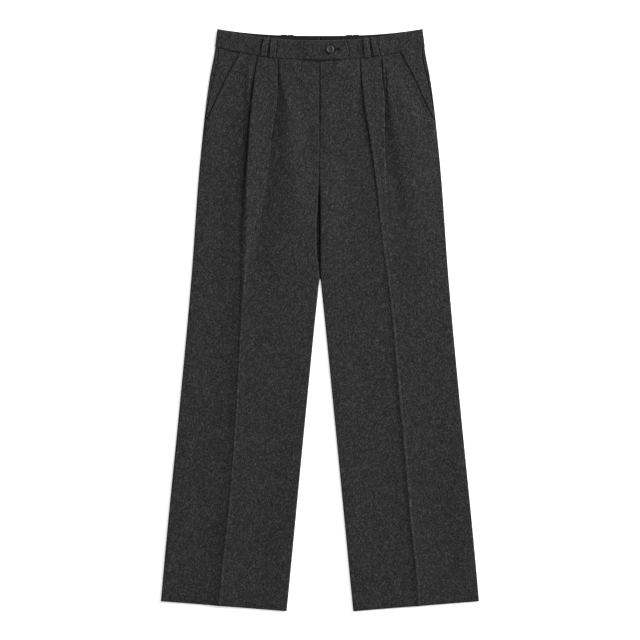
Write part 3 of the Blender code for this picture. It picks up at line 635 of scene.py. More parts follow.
def front_line(half, v):
    """Section of a front from the centre to the side, as (u, z)."""
    fly, flat_in, base_in, strip_in, strip_out, base_out, flat_out = LEVELS[half](v)
    bottom_in, slope_in, bottom_out, slope_out = GROOVES[half](v)
    line_in, line_out = (FRONT_GRAIN.place(curve, v) for curve in FOLDS[half].curves)
    shoulders, pleats = SHOULDERS(v), PLEATS(v)
    if CREASED[half] == "outer":
        pleats = pleats[2:] + pleats[:2]
    by_fly = shoulders[:2] if half == "right" else shoulders[2:4]

    # centre edge, the run out to the inner pleat, and its fold
    angle = radians(INNER_EDGE.curl(v))
    edge = FRONT_GRAIN.place(getattr(INNER_EDGE, half), v)
    start = (inner_start(edge, angle), fly)
    turned = curl(start, pi, angle)
    points = (turned + edge_drop(turned[-1], angle, v))[::-1] + [start]
    fold, offset = fold_step(*pleats[:2], strip_in - base_in)
    foot = line_in + offset
    brink = (min(line_in, foot) - bottom_in, base_in)
    points += sag(start, brink, flat_in, by_fly, (0.0, slope_in, CRISP[half][0]))
    points += [brink, (foot, base_in)] + [(foot + du, base_in + dz) for du, dz in fold]

    # raised strip and the outer pleat's fold
    fold, offset = fold_step(*pleats[2:], strip_out - base_out)
    foot = line_out - offset
    fold = [(foot - du, base_out + dz) for du, dz in fold[::-1]]
    (u, z), (far_u, far_z) = points[-1], fold[0]
    for share in spread(0.0, 1.0, STRIP_STEPS)[1:-1]:
        sunk = STRIP_SAG * sin(pi * share)
        points.append((lerp(u, far_u, share), lerp(z, far_z, share) - sunk))
    brink = (max(line_out, foot) + bottom_out, base_out)
    points += fold + [(foot, base_out), brink]

    # run out to the pocket's mouth or the side seam
    if v > POCKET_END_V:
        mouth = FRONT_GRAIN.place(POCKET.mouth, v)
        end, angle = (mouth - EDGE_RUN, facing_level(v, mouth) + PITCH), 0.0
    else:
        start_u, angle = seam_edge(v)
        end = (start_u, FOLDED_LEVEL)
    points += sag(brink, end, flat_out, (0.0, slope_out, CRISP[half][1]), shoulders[4:])
    return points + [end] + curl(end, 0.0, -angle)


def back_row_line(v):
    """A back's row from the seat seam or inseam, round the side fold to the side seam."""
    low = CLOTH / 2
    under = back_row(v)
    angle = radians(BACK_EDGE.curl(v))
    start = inner_start(BACK_EDGE.edge(v), angle)
    top, past = side_fold(v)
    flat = curl((start, low), pi, -angle)[::-1]
    flat += [(u, low) for u in spread(start, top, RUN_STEPS)[:-1]]
    row = [(u, BACK_GRAIN.y(under, u), z) for u, z in flat]
    for way in spread(0.0, EDGE_R * pi / 2 + past, SIDE_STEPS):
        turned = min(pi, way / EDGE_R)
        u = top + EDGE_R * sin(turned) - max(0.0, way - pi * EDGE_R)
        row.append((u, FRONT_GRAIN.y(v, u), low + EDGE_R * (1 - cos(turned))))
    return [(u, y, z + lift(y)) for u, y, z in row]


def band_edges(u, front_share):
    """Bottom and top of the waistband; the share is 0 on the back and 1 on the front."""
    across = (abs(u) / BAND_SIDE_BOTTOM_U) ** 2
    higher = min(1.0, abs(u) / BAND_SIDE_TOP_U)
    bottom = lerp(BACK_SEAM_Y + BACK_SEAM_RISE * across,
                  FRONT_SEAM_Y + FRONT_SEAM_RISE * across, front_share)
    top = lerp(lerp(BACK_TOP_Y, TOP_Y, higher ** BACK_TOP_POWER),
               lerp(FRONT_TOP_Y, TOP_Y, higher ** 2), front_share)
    return bottom - BAND_OVER, top


def tab_end(share):
    """X of the tab's end at a share of the band's height: round below, slanted above."""
    past = (share - TAB_TIP_HEIGHT) / (1 - TAB_TIP_HEIGHT)
    if past < 0:
        drop = 1 - share / TAB_TIP_HEIGHT
        return TAB_TIP_X - TAB_CORNER * (1 - sqrt(1 - drop * drop))
    return TAB_TIP_X - TAB_TOP_SLANT * past


def band_line(half, share):
    """One level line along half a waistband: seat seam, side fold, centre front."""
    low = BAND_BACK_Z + BAND_THICK / 2
    high = BAND_FRONT_Z + BAND_THICK / 2
    side = lerp(BAND_SIDE_BOTTOM_U, BAND_SIDE_TOP_U, share) - BAND_THICK / 2 - BAND_TURN_R
    end, raised = UNDERLAP_END_X, 0.0
    if half == "right":
        end, raised = -tab_end(share), BAND_THICK + SEAM
    stops = [(u, low, 0.0) for u in spread(BAND_SEAT_U, side, BAND_BACK_STEPS)]
    turn = arc((side, low), 0.0, pi, BAND_TURN_R, BAND_TURN_STEPS)
    stops += [(u, z, k / BAND_TURN_STEPS) for k, (u, z) in enumerate(turn, 1)]
    stops += [(u, high, 1.0) for u in spread(side, -TAB_LEVEL_X, BAND_FRONT_STEPS)[1:-1]]
    stops += [(u, high + raised * climb(-u, TAB_LEVEL_X, TAB_RAISED_X), 1.0)
              for u in spread(-TAB_LEVEL_X, end, BAND_END_STEPS)]
    return [(u, lerp(*band_edges(u, front_share), share), z) for u, z, front_share in stops]


def shield_row(v):
    """A row of the fly shield."""
    middle = sum(SHIELD_X) / 2
    narrow = 1 - SHIELD_TAPER * climb(v, *SHIELD_TAPER_Y)
    return [(lerp(middle, x, narrow), v, SHIELD_LEVEL + lift(v))
            for x in spread(*SHIELD_X, SHIELD_STEPS)]


def loop_rows(line, where, level):
    """A strip up the waistband, arched away from it between its sewn ends."""
    top_u, bottom_u = line
    rims = [stop * LOOP_THICK / 2 / (FRONT_TOP_Y - FRONT_SEAM_Y) for stop in RIM_STOPS]
    shares = spread(0.0, 1.0, LOOP_STEPS)
    rows = []
    for share in shares[:1] + rims + shares[1:-1] + [1 - rim for rim in rims[::-1]] + shares[-1:]:
        middle = lerp(bottom_u, top_u, share)
        bottom, top = band_edges(middle, float(where == "front"))
        y = lerp(bottom, top + LOOP_PROUD[where], share)
        z = level + LOOP_BULGE[where] * sin(pi * share)
        rise = LOOP_EDGE_RISE if where == "front" else 0.0
        rows.append([(middle + across * LOOP_WIDTH / 2, y,
                      z + rise * (across ** LOOP_EDGE_POWER - LOOP_EDGE_SHARE))
                     for across in spread(-1.0, 1.0, LOOP_STEPS // 2)])
    return rows


def hill(tables, u, y):
    """Height of the soft hills and troughs at a place."""
    return sum(table.height(y) * bump(u - table.at(y), table.reach(y)) for table in tables)


def ripple(u, y, side):
    """Height of the cloth's broad unevenness at a place."""
    return sum(rise * noise.noise(Vector((side * u / wide, y / long, RIPPLE_SEED)))
               for wide, long, rise in RIPPLES)


@cache
def pocket_stitch(half):
    """The path of the topstitching beside a pocket's mouth, from its lower end."""
    return [(SIDES[half] * (POCKET.mouth(y) - POCKET_STITCH_INSET), y)
            for y in spread(*POCKET_STITCH_Y, POCKET_STITCH_STEPS)]


def beside_path(path, x, y):
    """1 on a line of stitches, soft down to 0 beside it."""
    nearest = reach = STITCH_DIP_REACH
    for (ax, ay), (bx, by) in zip(path, path[1:]):
        if min(ay, by) - reach < y < max(ay, by) + reach:
            square = dist((ax, ay), (bx, by)) ** 2
            share = ((x - ax) * (bx - ax) + (y - ay) * (by - ay)) / square
            share = min(1.0, max(0.0, share))
            nearest = min(nearest, dist((x, y), (lerp(ax, bx, share), lerp(ay, by, share))))
    return bump(nearest, reach)


def pressed(half, u, y):
    """Height of the leg's crease at a place."""
    away = SIDES[half] * (u - getattr(FOLDS[half], CREASED[half])(y))
    sharp = fall(abs(away), 0.0, CREASE_REACH[half][away > 0], CREASE_CRISP[half])
    return getattr(CREASE, half)(y) * lerp(bump(away, CREASE_FOOT), sharp, CREASE_SHARP[half])


def drawn_in(half, v, u, y, inner, z):
    """How far the seams and stitches of a front draw its cloth down at a place."""
    x = SIDES[half] * u
    depth = (WAIST_DIP[half] * climb(z, LOWEST_FRONT, LOWEST_FRONT + WAIST_LOOSE)
             * bump(max(0.0, WAIST_V - v), WAIST_DIP_REACH))
    depth += (SEAM_DIP[half] * climb(v, *SEAM_DIP_FOOT) * climb(v, *SEAM_DIP_TOP)
              * bump(u - max(inner, SEAM_U), SEAM_DIP_REACH))
    depth += STITCH_DIP * beside_path(pocket_stitch(half), x, y)
    if half == "left":
        return depth + FLY_DIP * climb(v, *FLY_DIP_V) * bump(u - FLY_DIP_U, FLY_DIP_REACH)
    deeper = FLY_END_DIP * climb(v, *FLY_END_V)
    return depth + (STITCH_DIP + deeper) * beside_path(J_STITCH, x, y)


def dressed_front(half, v):
    """A front's row with its crease, hills and ripples, drawn in at its seams."""
    line = front_line(half, v)
    inner, outer = line[0][0], line[-1][0]
    row = []
    for u, z in line:
        y = FRONT_GRAIN.y(v, u)
        free = climb(min(u - inner, outer - u), *RIPPLE_FREE)
        above = z + pressed(half, u, y) - drawn_in(half, v, u, y, inner, z)
        above += free * (hill(HILLS[half], u, y) + ripple(u, y, SIDES[half]))
        if v < POCKET_END_V:
            above += (POCKET_STEP * climb(v, *POCKET_STEP_FADE)
                      * climb(outer - u, *POCKET_STEP_OUT) * climb(outer - u, *POCKET_STEP_IN))
        else:
            above += (MOUTH_EDGE[half] * climb(v, *MOUTH_EDGE_V)
                      * fall(outer - u, *MOUTH_EDGE_FALL))
        row.append((u, y, max(above, min(z, LOWEST_FRONT)) + lift(y)))
    return row


def side_dip(half, distance, v):
    """How far the cloth is drawn down at a distance from the side seam."""
    return SIDE_DIP[half] * bump(distance, SIDE_DIP_REACH) * climb(v, *SIDE_DIP_V)


def dressed_facing(half, v):
    """A pocket facing's row, with the lip that stands up beside the pocket's mouth."""
    inner = FRONT_GRAIN.place(POCKET.mouth, v) - FACING_OVERLAP
    end, angle = seam_edge(v)
    line = [(u, facing_level(v, u)) for u in spread(inner, end, RUN_STEPS)[:-1]]
    line.append((end, FOLDED_LEVEL))
    line += curl(line[-1], 0.0, -angle)
    row = []
    for u, z in line:
        y = FRONT_GRAIN.y(v, u)
        past = u - POCKET.mouth(y)
        if past > 0 and u < end:
            lip = FACING_LEVEL + MOUTH_LIP[half] * climb(past, *MOUTH_LIP_REACH)
            z = lerp(lip, FOLDED_LEVEL, past / (past + end - u))
            z -= WAIST_DIP["right"] * bump(WAIST_V - v, WAIST_DIP_REACH)
        if past > 0:
            z -= side_dip(half, line[-1][0] - u, v)
        row.append((u, y, z + lift(y)))
    return row


def dressed_back(half, v):
    """A back's row, marked from below by its darts and its crease."""
    line = back_row_line(v)
    row = []
    for u, y, z in line:
        height = z - lift(y)
        if height < CLOTH:
            z += hill(BACK_MARKS, u, y)
        else:
            z -= side_dip(half, u - line[-1][0], v) * climb(height - FOLDED_LEVEL, *SIDE_DIP_Z)
        row.append((u, y, z))
    return row


def beside(distance, reach):
    """1 a little beyond an edge, soft down to 0 on both sides of that."""
    return bump(distance - reach / 3, reach)


def press(half, x, y, share):
    """How far the waistband's front is pressed in beside the belt loops, tab and button."""
    edges = [SIDES[half] * lerp(low, high, share) + LOOP_WIDTH / 2
             for high, low in LOOPS["front"].values()]
    if half == "left":
        edges.append(tab_end(share))
    depth = max(beside(x - edge, PRESS_REACH) for edge in edges)
    if half == "right":
        away = dist((x, y), (BUTTON_X, BUTTON_Y)) - BUTTON_RADIUS
        depth = max(depth, beside(away, BUTTON_PRESS_REACH))
    return PRESS_DEPTH * depth


def dressed_band(half, share):
    """A level line along half a waistband, with its ripples and the tab's buttonhole."""
    start, end = BUTTONHOLE_X
    wide, long = BAND_RIPPLE_SIZE
    row = []
    for u, y, z in band_line(half, share):
        x = SIDES[half] * u
        if z > BAND_FRONT_Z:
            rise = BAND_RIPPLE * noise.noise(Vector((x / wide, y / long, BAND_SEED)))
            rise -= press(half, x, y, share)
            rise -= BAND_TOP_ROLL * fall(band_edges(u, 1.0)[1] - y, 0.0, BAND_TOP_REACH, 1.0)
            z += rise * climb(z, BAND_FRONT_Z, BAND_FRONT_Z + BAND_THICK / 2)
        past = max(start - x, x - end, 0.0)
        if half == "right":
            aside = hypot(past, y - BUTTON_Y) / BUTTONHOLE_HALF_WIDTH
            z -= BUTTONHOLE_DEPTH * fall(aside, *BUTTONHOLE_FALL)
        row.append((u, y, z))
    return row


def band_shares():
    """Rows up the waistband: close together at its edges and at the buttonhole."""
    height = FRONT_TOP_Y - FRONT_SEAM_Y
    hole = (BUTTON_Y - FRONT_SEAM_Y) / height
    rims = [stop * BAND_THICK / 2 / height for stop in RIM_STOPS]
    holes = [hole + step * BUTTONHOLE_HALF_WIDTH / height for step in BUTTONHOLE_ROWS]
    steps = [step for step in spread(0.0, 1.0, BAND_ROWS)
             if not holes[0] - BUTTONHOLE_GAP < step < holes[-1] + BUTTONHOLE_GAP]
    return sorted(steps + rims + holes + [1 - rim for rim in rims])


def rows_down(bottom, bend):
    """Row values from the waist to the bottom of a piece, close together at both ends."""
    rim = CLOTH / 2
    rows = [WAIST_V] + [WAIST_V - stop * rim for stop in RIM_STOPS + RIM_EXTRA]
    last = bottom + RIM_STOPS[-1] * rim
    for low, spacing in ((max(bend, last), ROW_SPACING), (last, LEG_ROW_SPACING)):
        if rows[-1] > low:
            steps = max(1, round((rows[-1] - low) / spacing))
            rows += spread(rows[-1], low, steps)[1:]
    return rows + [bottom + stop * rim for stop in RIM_STOPS[-2::-1]] + [bottom]


def hem_layers(rows):
    """Half-thickness of the inner side of a leg, thicker where the hem is turned up."""
    return [CLOTH / 2 + (HEM_EXTRA if v < HEM_INNER_Y + HEM_TURNUP else 0.0) for v in rows]


def along(points):
    """Distance of each point from the start of the line."""
    way = [0.0]
    for a, b in zip(points, points[1:]):
        way.append(way[-1] + dist(a, b))
    return way


def with_rims(row, half):
    """Add points close to both ends of a row, where the cloth's edge is rounded."""
    for _ in range(2):
        row = row[::-1]
        scale = min(1.0, half / dist(row[0], row[1]))
        rim = [tuple(lerp(a, b, stop * scale) for a, b in zip(row[0], row[1]))
               for stop in RIM_STOPS]
        row = row[:1] + rim + row[1:]
    return row


def rim_share(distance, half):
    """Share of the cloth's thickness that is left at a distance from its edge."""
    return max(RIM_MIN, sqrt(1 - (1 - min(1.0, distance / half)) ** 2))


def sideways(row, above, below):
    """The two sides of a section line, moved out square to it by the given half-thickness.

    Bends are mitred, and a curved end goes on turning up to its last point.
    """
    headings = [atan2(after[2] - point[2], after[0] - point[0])
                for point, after in zip(row, row[1:])]
    bends = [remainder(after - before, 2 * pi)
             for before, after in zip(headings, headings[1:])]
    bends = bends[:1] + bends + bends[-1:]
    headings = [headings[0] - bends[0]] + headings
    sides = []
    for sign, halves in ((1, above), (-1, below)):
        points = []
        for (u, y, z), heading, bend, half in zip(row, headings, bends, halves):
            square = heading + bend / 2
            out = sign * half * min(MOST_MITRE, 1 / max(MIN_COSINE, cos(bend / 2)))
            points.append((u - sin(square) * out, y, z + cos(square) * out))
        sides.append(points)
    return sides


def new_mesh(name, points, faces, *materials):
    """A smooth mesh from points in millimetres."""
    mesh = bpy.data.meshes.new(name)
    mesh.from_pydata([(x * MM, y * MM, z * MM) for x, y, z in points], [], faces)
    for material in materials:
        mesh.materials.append(material)
    mesh.shade_smooth()
    return mesh


def add_object(name, data):
    """Put a mesh, light or camera into the scene."""
    added = bpy.data.objects.new(name, data)
    bpy.context.scene.collection.objects.link(added)
    return added


def add_piece(name, mesh):
    """Put a mesh into the scene as a piece of the trousers."""
    piece = add_object(name, mesh)
    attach(piece, BODY)
    return piece


def cloth(node, rows, side, *materials, half=CLOTH / 2, above=None, below=None):
    """A shell of cloth with rounded edges, in place of a node's solid.

    above and below give the half-thickness for each row, where it isn't the same all over.
    A second material covers the side above the section lines.
    """
    above = above or [half] * len(rows)
    below = below or [half] * len(rows)
    middle = len(rows[0]) // 2
    rows = [with_rims(row, reach) for row, reach in zip(rows, above)]
    down = along([row[middle] for row in rows])
    pairs = []
    places = []
    for row, way, over, under in zip(rows, down, above, below):
        across = along(row)
        shares = [rim_share(min(w, across[-1] - w, way, down[-1] - way), max(over, under))
                  for w in across]
        pairs.append(sideways(row, [share * over for share in shares],
                              [share * under for share in shares]))
        places += [(side * ((w - across[middle]) * MM + CUT_APART), row[middle][1] * MM)
                   for w in across]
    points = [(side * u, y, z) for which in (0, 1) for pair in pairs for u, y, z in pair[which]]

    width = len(rows[0])
    low = len(places)
    quads = [(a, a + 1, a + width + 1, a + width)
             for start in range(0, low - width, width) for a in range(start, start + width - 1)]
    faces = quads + [tuple(low + corner for corner in quad[::-1]) for quad in quads]
    for a in range(0, low - width, width):
        b = a + width - 1
        faces += [(a, a + width, low + a + width, low + a),
                  (b + width, b, low + b, low + b + width)]
    for a in range(width - 1):
        b = low - width + a
        faces += [(a + 1, a, low + a, low + a + 1), (b, b + 1, low + b + 1, low + b)]

    name = node + "_cloth"
    mesh = new_mesh(name, points, faces, *materials)
    layer = mesh.uv_layers.new(name=UV_LAYER)
    corners = [0] * len(mesh.loops)
    mesh.loops.foreach_get("vertex_index", corners)
    layer.data.foreach_set("uv", [x for corner in corners for x in places[corner % low]])
    if len(materials) > 1:
        slots = [1] * len(quads) + [0] * (len(faces) - len(quads))
        mesh.polygons.foreach_set("material_index", slots)
    body = bmesh.new()
    body.from_mesh(mesh)
    if body.calc_volume(signed=True) < 0:
        mesh.flip_normals()
    body.free()
    piece = add_piece(name, mesh)
    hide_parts(node)
    return piece


def ring(x, y, z, radius, sides):
    """Points on a level circle."""
    turns = [2 * pi * k / sides for k in range(sides)]
    return [(x + radius * cos(turn), y - radius * sin(turn), z) for turn in turns]


def tube(rings, first=0):
    """Faces of a closed tube through rings of points, which are numbered from the first."""
    sides = len(rings[0])
    last = first + (len(rings) - 1) * sides
    faces = [(low + k, low + sides + k, low + sides + (k + 1) % sides, low + (k + 1) % sides)
             for low in range(first, last, sides) for k in range(sides)]
    return faces + [tuple(range(first, first + sides)), tuple(range(last, last + sides))[::-1]]


class Thread:
    """Stitches of thread, laid on the upper or the lower side of a piece."""

    ROUND = 6
    SHAPE = ((0.0, 0.35), (0.12, 0.85), (0.5, 1.0), (0.88, 0.85), (1.0, 0.35))
    REACH = 0.1  # metres from the table, from where the cloth is looked for
    RUN_RISE = {True: 0.2, False: 0.9}  # in radii, on the upper and the lower side
    TACK_RISE, TACK_ARCH = {True: 0.0, False: 0.9}, {True: 0.6, False: 0.0}
    TACK_PITCH = 2.1

    def __init__(self, piece=None, from_above=True):
        settings = bpy.context.scene.trousers_stitching
        self.radius = settings.thickness / MM / 2
        self.length = settings.length / MM
        self.pitch = self.length + settings.gap / MM
        self.from_above = from_above
        self.points = []
        self.faces = []
        if piece:
            self.tree = BVHTree.FromPolygons(
                [vertex.co for vertex in piece.data.vertices],
                [face.vertices[:] for face in piece.data.polygons])

    def lay(self, x, y, rise=0.0):
        """The point of the cloth at x, y, moved up by a rise."""
        reach = self.REACH if self.from_above else -self.REACH
        hit = self.tree.ray_cast(Vector((x * MM, y * MM, reach)), Vector((0, 0, -reach)))[0]
        if hit is None:
            raise RuntimeError(f"no cloth for a stitch at {x:.1f}, {y:.1f}")
        return hit / MM + Vector((0, 0, rise))

    def stitch(self, a, b, radius, arch=0.0):
        """One stitch between two points, which may arch up in its middle."""
        way = b - a
        across = way.cross(Vector((0, 0, 1)))
        across = across.normalized() if across.length > TINY else Vector((1, 0, 0))
        up = across.cross(way).normalized()
        rings = []
        for share, girth in self.SHAPE:
            middle = a + way * share + up * arch * 4 * share * (1 - share)
            rings.append([middle + across * x - up * y
                          for x, y, _ in ring(0, 0, 0, radius * girth, self.ROUND)])
        self.faces += tube(rings, len(self.points))
        self.points += [point for circle in rings for point in circle]

    def run(self, path):
        """A line of stitches along a path of (x, y) points."""
        way = along(path)
        rise = self.radius * self.RUN_RISE[self.from_above]
        for k in range(int(way[-1] / self.pitch)):
            ends = []
            for distance in (k * self.pitch, k * self.pitch + self.length):
                index = min(bisect_right(way, distance) - 1, len(path) - 2)
                share = (distance - way[index]) / (way[index + 1] - way[index])
                x, y = (lerp(a, b, share) for a, b in zip(path[index], path[index + 1]))
                ends.append(self.lay(x, y, rise))
            self.stitch(*ends, self.radius)

    def tack(self, x, y, width, height):
        """A bar tack: close stitches side by side across a strip."""
        rise = self.radius * self.TACK_RISE[self.from_above]
        arch = self.radius * self.TACK_ARCH[self.from_above]
        steps = max(1, round(width / (self.radius * self.TACK_PITCH)) - 1)
        for at in spread(x - width / 2, x + width / 2, steps):
            ends = [self.lay(at, y + end, rise) for end in (-height / 2, height / 2)]
            self.stitch(*ends, self.radius, arch)

    def purl(self):
        """Close stitches all round the buttonhole."""
        radius = self.radius * PURL_THICK
        start, end = BUTTONHOLE_X
        quarter = pi / 2
        roots = [(x, turn) for x in spread(start, end, PURL_STITCHES - 1)
                 for turn in (quarter, -quarter)]
        for turn in spread(0.0, pi, PURL_FAN + 1)[1:-1]:
            roots += [(end, quarter - turn), (start, quarter + turn)]
        for x, turn in roots:
            ends = [self.lay(x + out * cos(turn), BUTTON_Y + out * sin(turn))
                    for out in (BUTTONHOLE_HALF_WIDTH, BUTTONHOLE_HALF_WIDTH + PURL_LENGTH)]
            self.stitch(*ends, radius, 2 * radius)

    def piece(self, name, material):
        """Make the stitches into a piece."""
        return add_piece(name, new_mesh(name, self.points, self.faces, material))


# ---------------------------------------------------------------- settings

def colour_setting(name, description, default):
    return FloatVectorProperty(name=name, description=description, default=default,
                               subtype="COLOR", min=0, max=1)


def length_setting(name, description, default, low, high, digits):
    return FloatProperty(name=name, description=description, default=default, min=low, max=high,
                         precision=digits, unit="LENGTH")


class FlannelSettings(PropertyGroup):
    dark_wool: colour_setting(
        "Dark wool", "Colour of the darkest fibres", (0.0036, 0.0036, 0.0037))
    wool: colour_setting(
        "Wool", "Colour of most of the cloth", (0.0134, 0.0134, 0.0136))
    light_wool: colour_setting(
        "Light wool", "Colour of the light fibres in the melange", (0.070, 0.070, 0.070))
    nap_depth: length_setting(
        "Nap depth", "Relief of the brushed surface", 0.0004, 0, 0.002, 5)


class StitchSettings(PropertyGroup):
    length: length_setting(
        "Stitch length", "Length of one visible stitch", 0.0024, 0.001, 0.006, 4)
    gap: length_setting(
        "Gap", "Distance between two stitches", 0.0007, 0.0002, 0.003, 4)
    thickness: length_setting(
        "Thread", "Thickness of the sewing thread", 0.00042, 0.0001, 0.001, 5)
    colour: colour_setting(
        "Thread colour", "Colour of the sewing thread", (0.022, 0.022, 0.023))


class ButtonSettings(PropertyGroup):
    colour: colour_setting(
        "Button colour", "Colour of the button's resin", (0.021, 0.0205, 0.020))
    vein_colour: colour_setting(
        "Vein colour", "Colour of the darker veins in the resin", (0.0075, 0.0072, 0.007))
    # painted highlight: how much lighter the button's raised ring is coloured, for the light it
    # catches
    ring_highlight_gain: FloatProperty(
        name="Worn ring", description="How much lighter the raised ring has been rubbed",
        default=0.95, min=0, max=5)
    roughness: FloatProperty(
        name="Roughness", description="How dull the button's face is",
        default=0.46, min=0, max=1, subtype="FACTOR")


class StudioSettings(PropertyGroup):
    floor_colour: colour_setting(
        "Floor colour", "Colour of the plain floor", (0.95, 0.95, 0.95))
    floor_glow: FloatProperty(
        name="Floor glow", description="Light from the floor itself, which softens shadows",
        default=0.5, min=0, max=2)
    key_power: FloatProperty(
        name="Key light", description="Strength of the large light at the upper right",
        default=4.9, min=0)
    fill_power: FloatProperty(
        name="Fill light", description="Power of the round lamp above, nearest to the waist",
        default=14.5, min=0)
    sky: FloatProperty(
        name="Ambient", description="Brightness of the white surroundings",
        default=0.345, min=0, max=2)
    camera_height: length_setting(
        "Camera height", "Distance from the floor to the camera", 3.0, 1, 10, 2)


# ---------------------------------------------------------------- materials

def shaded(colour, gain):
    """A colour made lighter or darker."""
    return [value * gain for value in colour]


class Maker:
    """Makes a material; an input may be a value or another node's output."""

    def __init__(self, name, by_cloth=False, **values):
        self.material = bpy.data.materials.new(name)
        self.material.use_nodes = True
        self.tree = self.material.node_tree
        self.shader = self.tree.nodes["Principled BSDF"]
        for socket, value in values.items():
            self.feed(value, self.shader.inputs[socket.replace("_", " ")])
        if by_cloth:
            self.place = self.add("UVMap", uv_map=UV_LAYER)
        else:
            self.place = self.add("TexCoord", output="Object")

    def add(self, kind, inputs=None, output=0, **settings):
        """A new node's output, the first one if none is named."""
        made = self.tree.nodes.new("ShaderNode" + kind)
        for name, value in settings.items():
            setattr(made, name, value)
        for socket, value in (inputs or {}).items():
            self.feed(value, made.inputs[socket])
        return made.outputs[output]

    def feed(self, value, socket):
        if isinstance(value, bpy.types.NodeSocket):
            self.tree.links.new(value, socket)
        else:
            socket.default_value = value

    def noise(self, vector, scale, detail, roughness):
        return self.add("TexNoise", {"Vector": vector, "Scale": scale, "Detail": detail,
                                     "Roughness": roughness})

    def wave(self, direction, **inputs):
        return self.add("TexWave", {"Vector": self.place, **inputs}, "Fac", wave_type="BANDS",
                        bands_direction=direction)

    def mapped(self, scale, turn=0.0):
        return self.add("Mapping", {"Vector": self.place, "Rotation": (0.0, 0.0, turn),
                                    "Scale": scale})

    def vector(self, operation, inputs):
        return self.add("VectorMath", inputs, operation=operation)

    def scaled(self, value, gain, offset=None):
        """A value times a gain, plus an offset where there is one."""
        value = self.add("Math", {0: value, 1: gain}, operation="MULTIPLY")
        if offset is None:
            return value
        return self.add("Math", {0: value, 1: offset}, operation="ADD")

    def mix(self, first, *others):
        """The sum of (output, share) pairs."""
        total = self.scaled(*first)
        for value, share in others:
            total = self.add("Math", {0: total, 1: self.scaled(value, share)}, operation="ADD")
        return total

    def ramp(self, factor, *stops):
        colours = self.add("ValToRGB", {"Fac": factor})
        elements = colours.node.color_ramp.elements
        while len(elements) < len(stops):
            elements.new(0.5)
        for element, (position, colour) in zip(elements, stops):
            element.position = position
            element.color = (*colour, 1.0)
        return colours

    def finish(self, colour, roughness=None, height=None, distance=0.0, strength=0.0):
        """Feed the shader; a height gives a relief of this distance and strength."""
        self.feed(colour, self.shader.inputs["Base Color"])
        if roughness is not None:
            self.feed(roughness, self.shader.inputs["Roughness"])
        if height is not None:
            self.feed(self.add("Bump", {"Height": height, "Distance": distance,
                                        "Strength": strength}), self.shader.inputs["Normal"])
        return self.material


@cache
def flannel(name="flannel", shade=1.0):
    """Brushed wool of mixed dark and light fibres, over a twill that hardly shows."""
    settings = bpy.context.scene.trousers_flannel
    make = Maker(name, True, Specular_IOR_Level=0.2, Sheen_Weight=0.08, Sheen_Roughness=0.5,
                 Sheen_Tint=(0.75, 0.75, 0.76, 1.0))
    grain = make.mapped((1.3, 0.72, 1.0))
    hairs = make.mapped((1.0, 0.22, 1.0), 0.35)
    frayed = make.add("TexNoise", {"Vector": grain, "Scale": 560.0, "Detail": 2.0}, "Color")
    frayed = make.vector("MULTIPLY", {0: frayed, 1: (0.0016, 0.0016, 0.0)})
    cells = make.add("TexVoronoi", {"Vector": make.vector("ADD", {0: grain, 1: frayed}),
                                    "Scale": 720.0}, "Color")
    flecks = make.add("SeparateColor", {0: cells})
    tufts = make.noise(grain, 820.0, 3.0, 0.75)
    fibres = make.noise(hairs, 1500.0, 2.0, 0.6)
    clouds = make.noise(grain, 70.0, 3.0, 0.6)
    twill = make.wave("DIAGONAL", **{"Scale": 260.0, "Distortion": 3.0, "Detail": 1.0,
                                     "Detail Scale": 2.0})
    mixed = make.mix((flecks, 0.42), (tufts, 0.34), (fibres, 0.14), (clouds, 0.10))
    # a shade above 1 makes a lighter copy of the cloth, which is painted light on the belt loops
    dark, mid, light = (shaded(colour, shade) for colour in (
        settings.dark_wool, settings.wool, settings.light_wool))
    colour = make.ramp(mixed, (0.30, dark), (0.47, mid), (0.62, shaded(mid, 1.6)), (0.78, light))
    rough = make.add("MapRange", {"Value": tufts, "From Min": 0.3, "From Max": 0.7,
                                  "To Min": 0.84, "To Max": 0.98})
    nap = make.mix((tufts, 0.55), (fibres, 0.45), (twill, 0.10))
    return make.finish(colour, rough, nap, settings.nap_depth, 0.55)


@cache
def lining_and_painted_shade():
    """Dark twill on the inside of the waistband; part of its darkness is painted shade behind the
    front band.
    """
    settings = bpy.context.scene.trousers_flannel
    make = Maker("waistband_lining_and_painted_shade", True, Specular_IOR_Level=0.12, Sheen_Weight=0.02,
                 Sheen_Roughness=0.4)
    ribs = make.wave("DIAGONAL", Scale=420.0, Distortion=0.6)
    slubs = make.noise(make.place, 700.0, 2.0, 0.6)
    mixed = make.mix((ribs, 0.4), (slubs, 0.6))
    # partly painted shade: the ramp runs from the darkest wool to well under the flannel's tone
    colour = make.ramp(mixed, (0.25, settings.dark_wool), (0.75, shaded(settings.wool, 0.7)))
    return make.finish(colour, make.scaled(slubs, 0.2, 0.6), mixed, 0.0002, 0.5)


@cache
def sewing_thread(name="sewing_thread", shade=1.0, shine=0.3):
    """Spun thread, a little uneven in colour."""
    make = Maker(name, Roughness=0.7, Specular_IOR_Level=shine, Sheen_Weight=shine / 2)
    plies = make.noise(make.place, 2600.0, 1.0, 0.5)
    base = shaded(bpy.context.scene.trousers_stitching.colour, shade)
    colour = make.ramp(plies, (0.35, shaded(base, 0.6)), (0.65, shaded(base, 1.5)))
    return make.finish(colour, None, plies, 0.00015, 0.6)


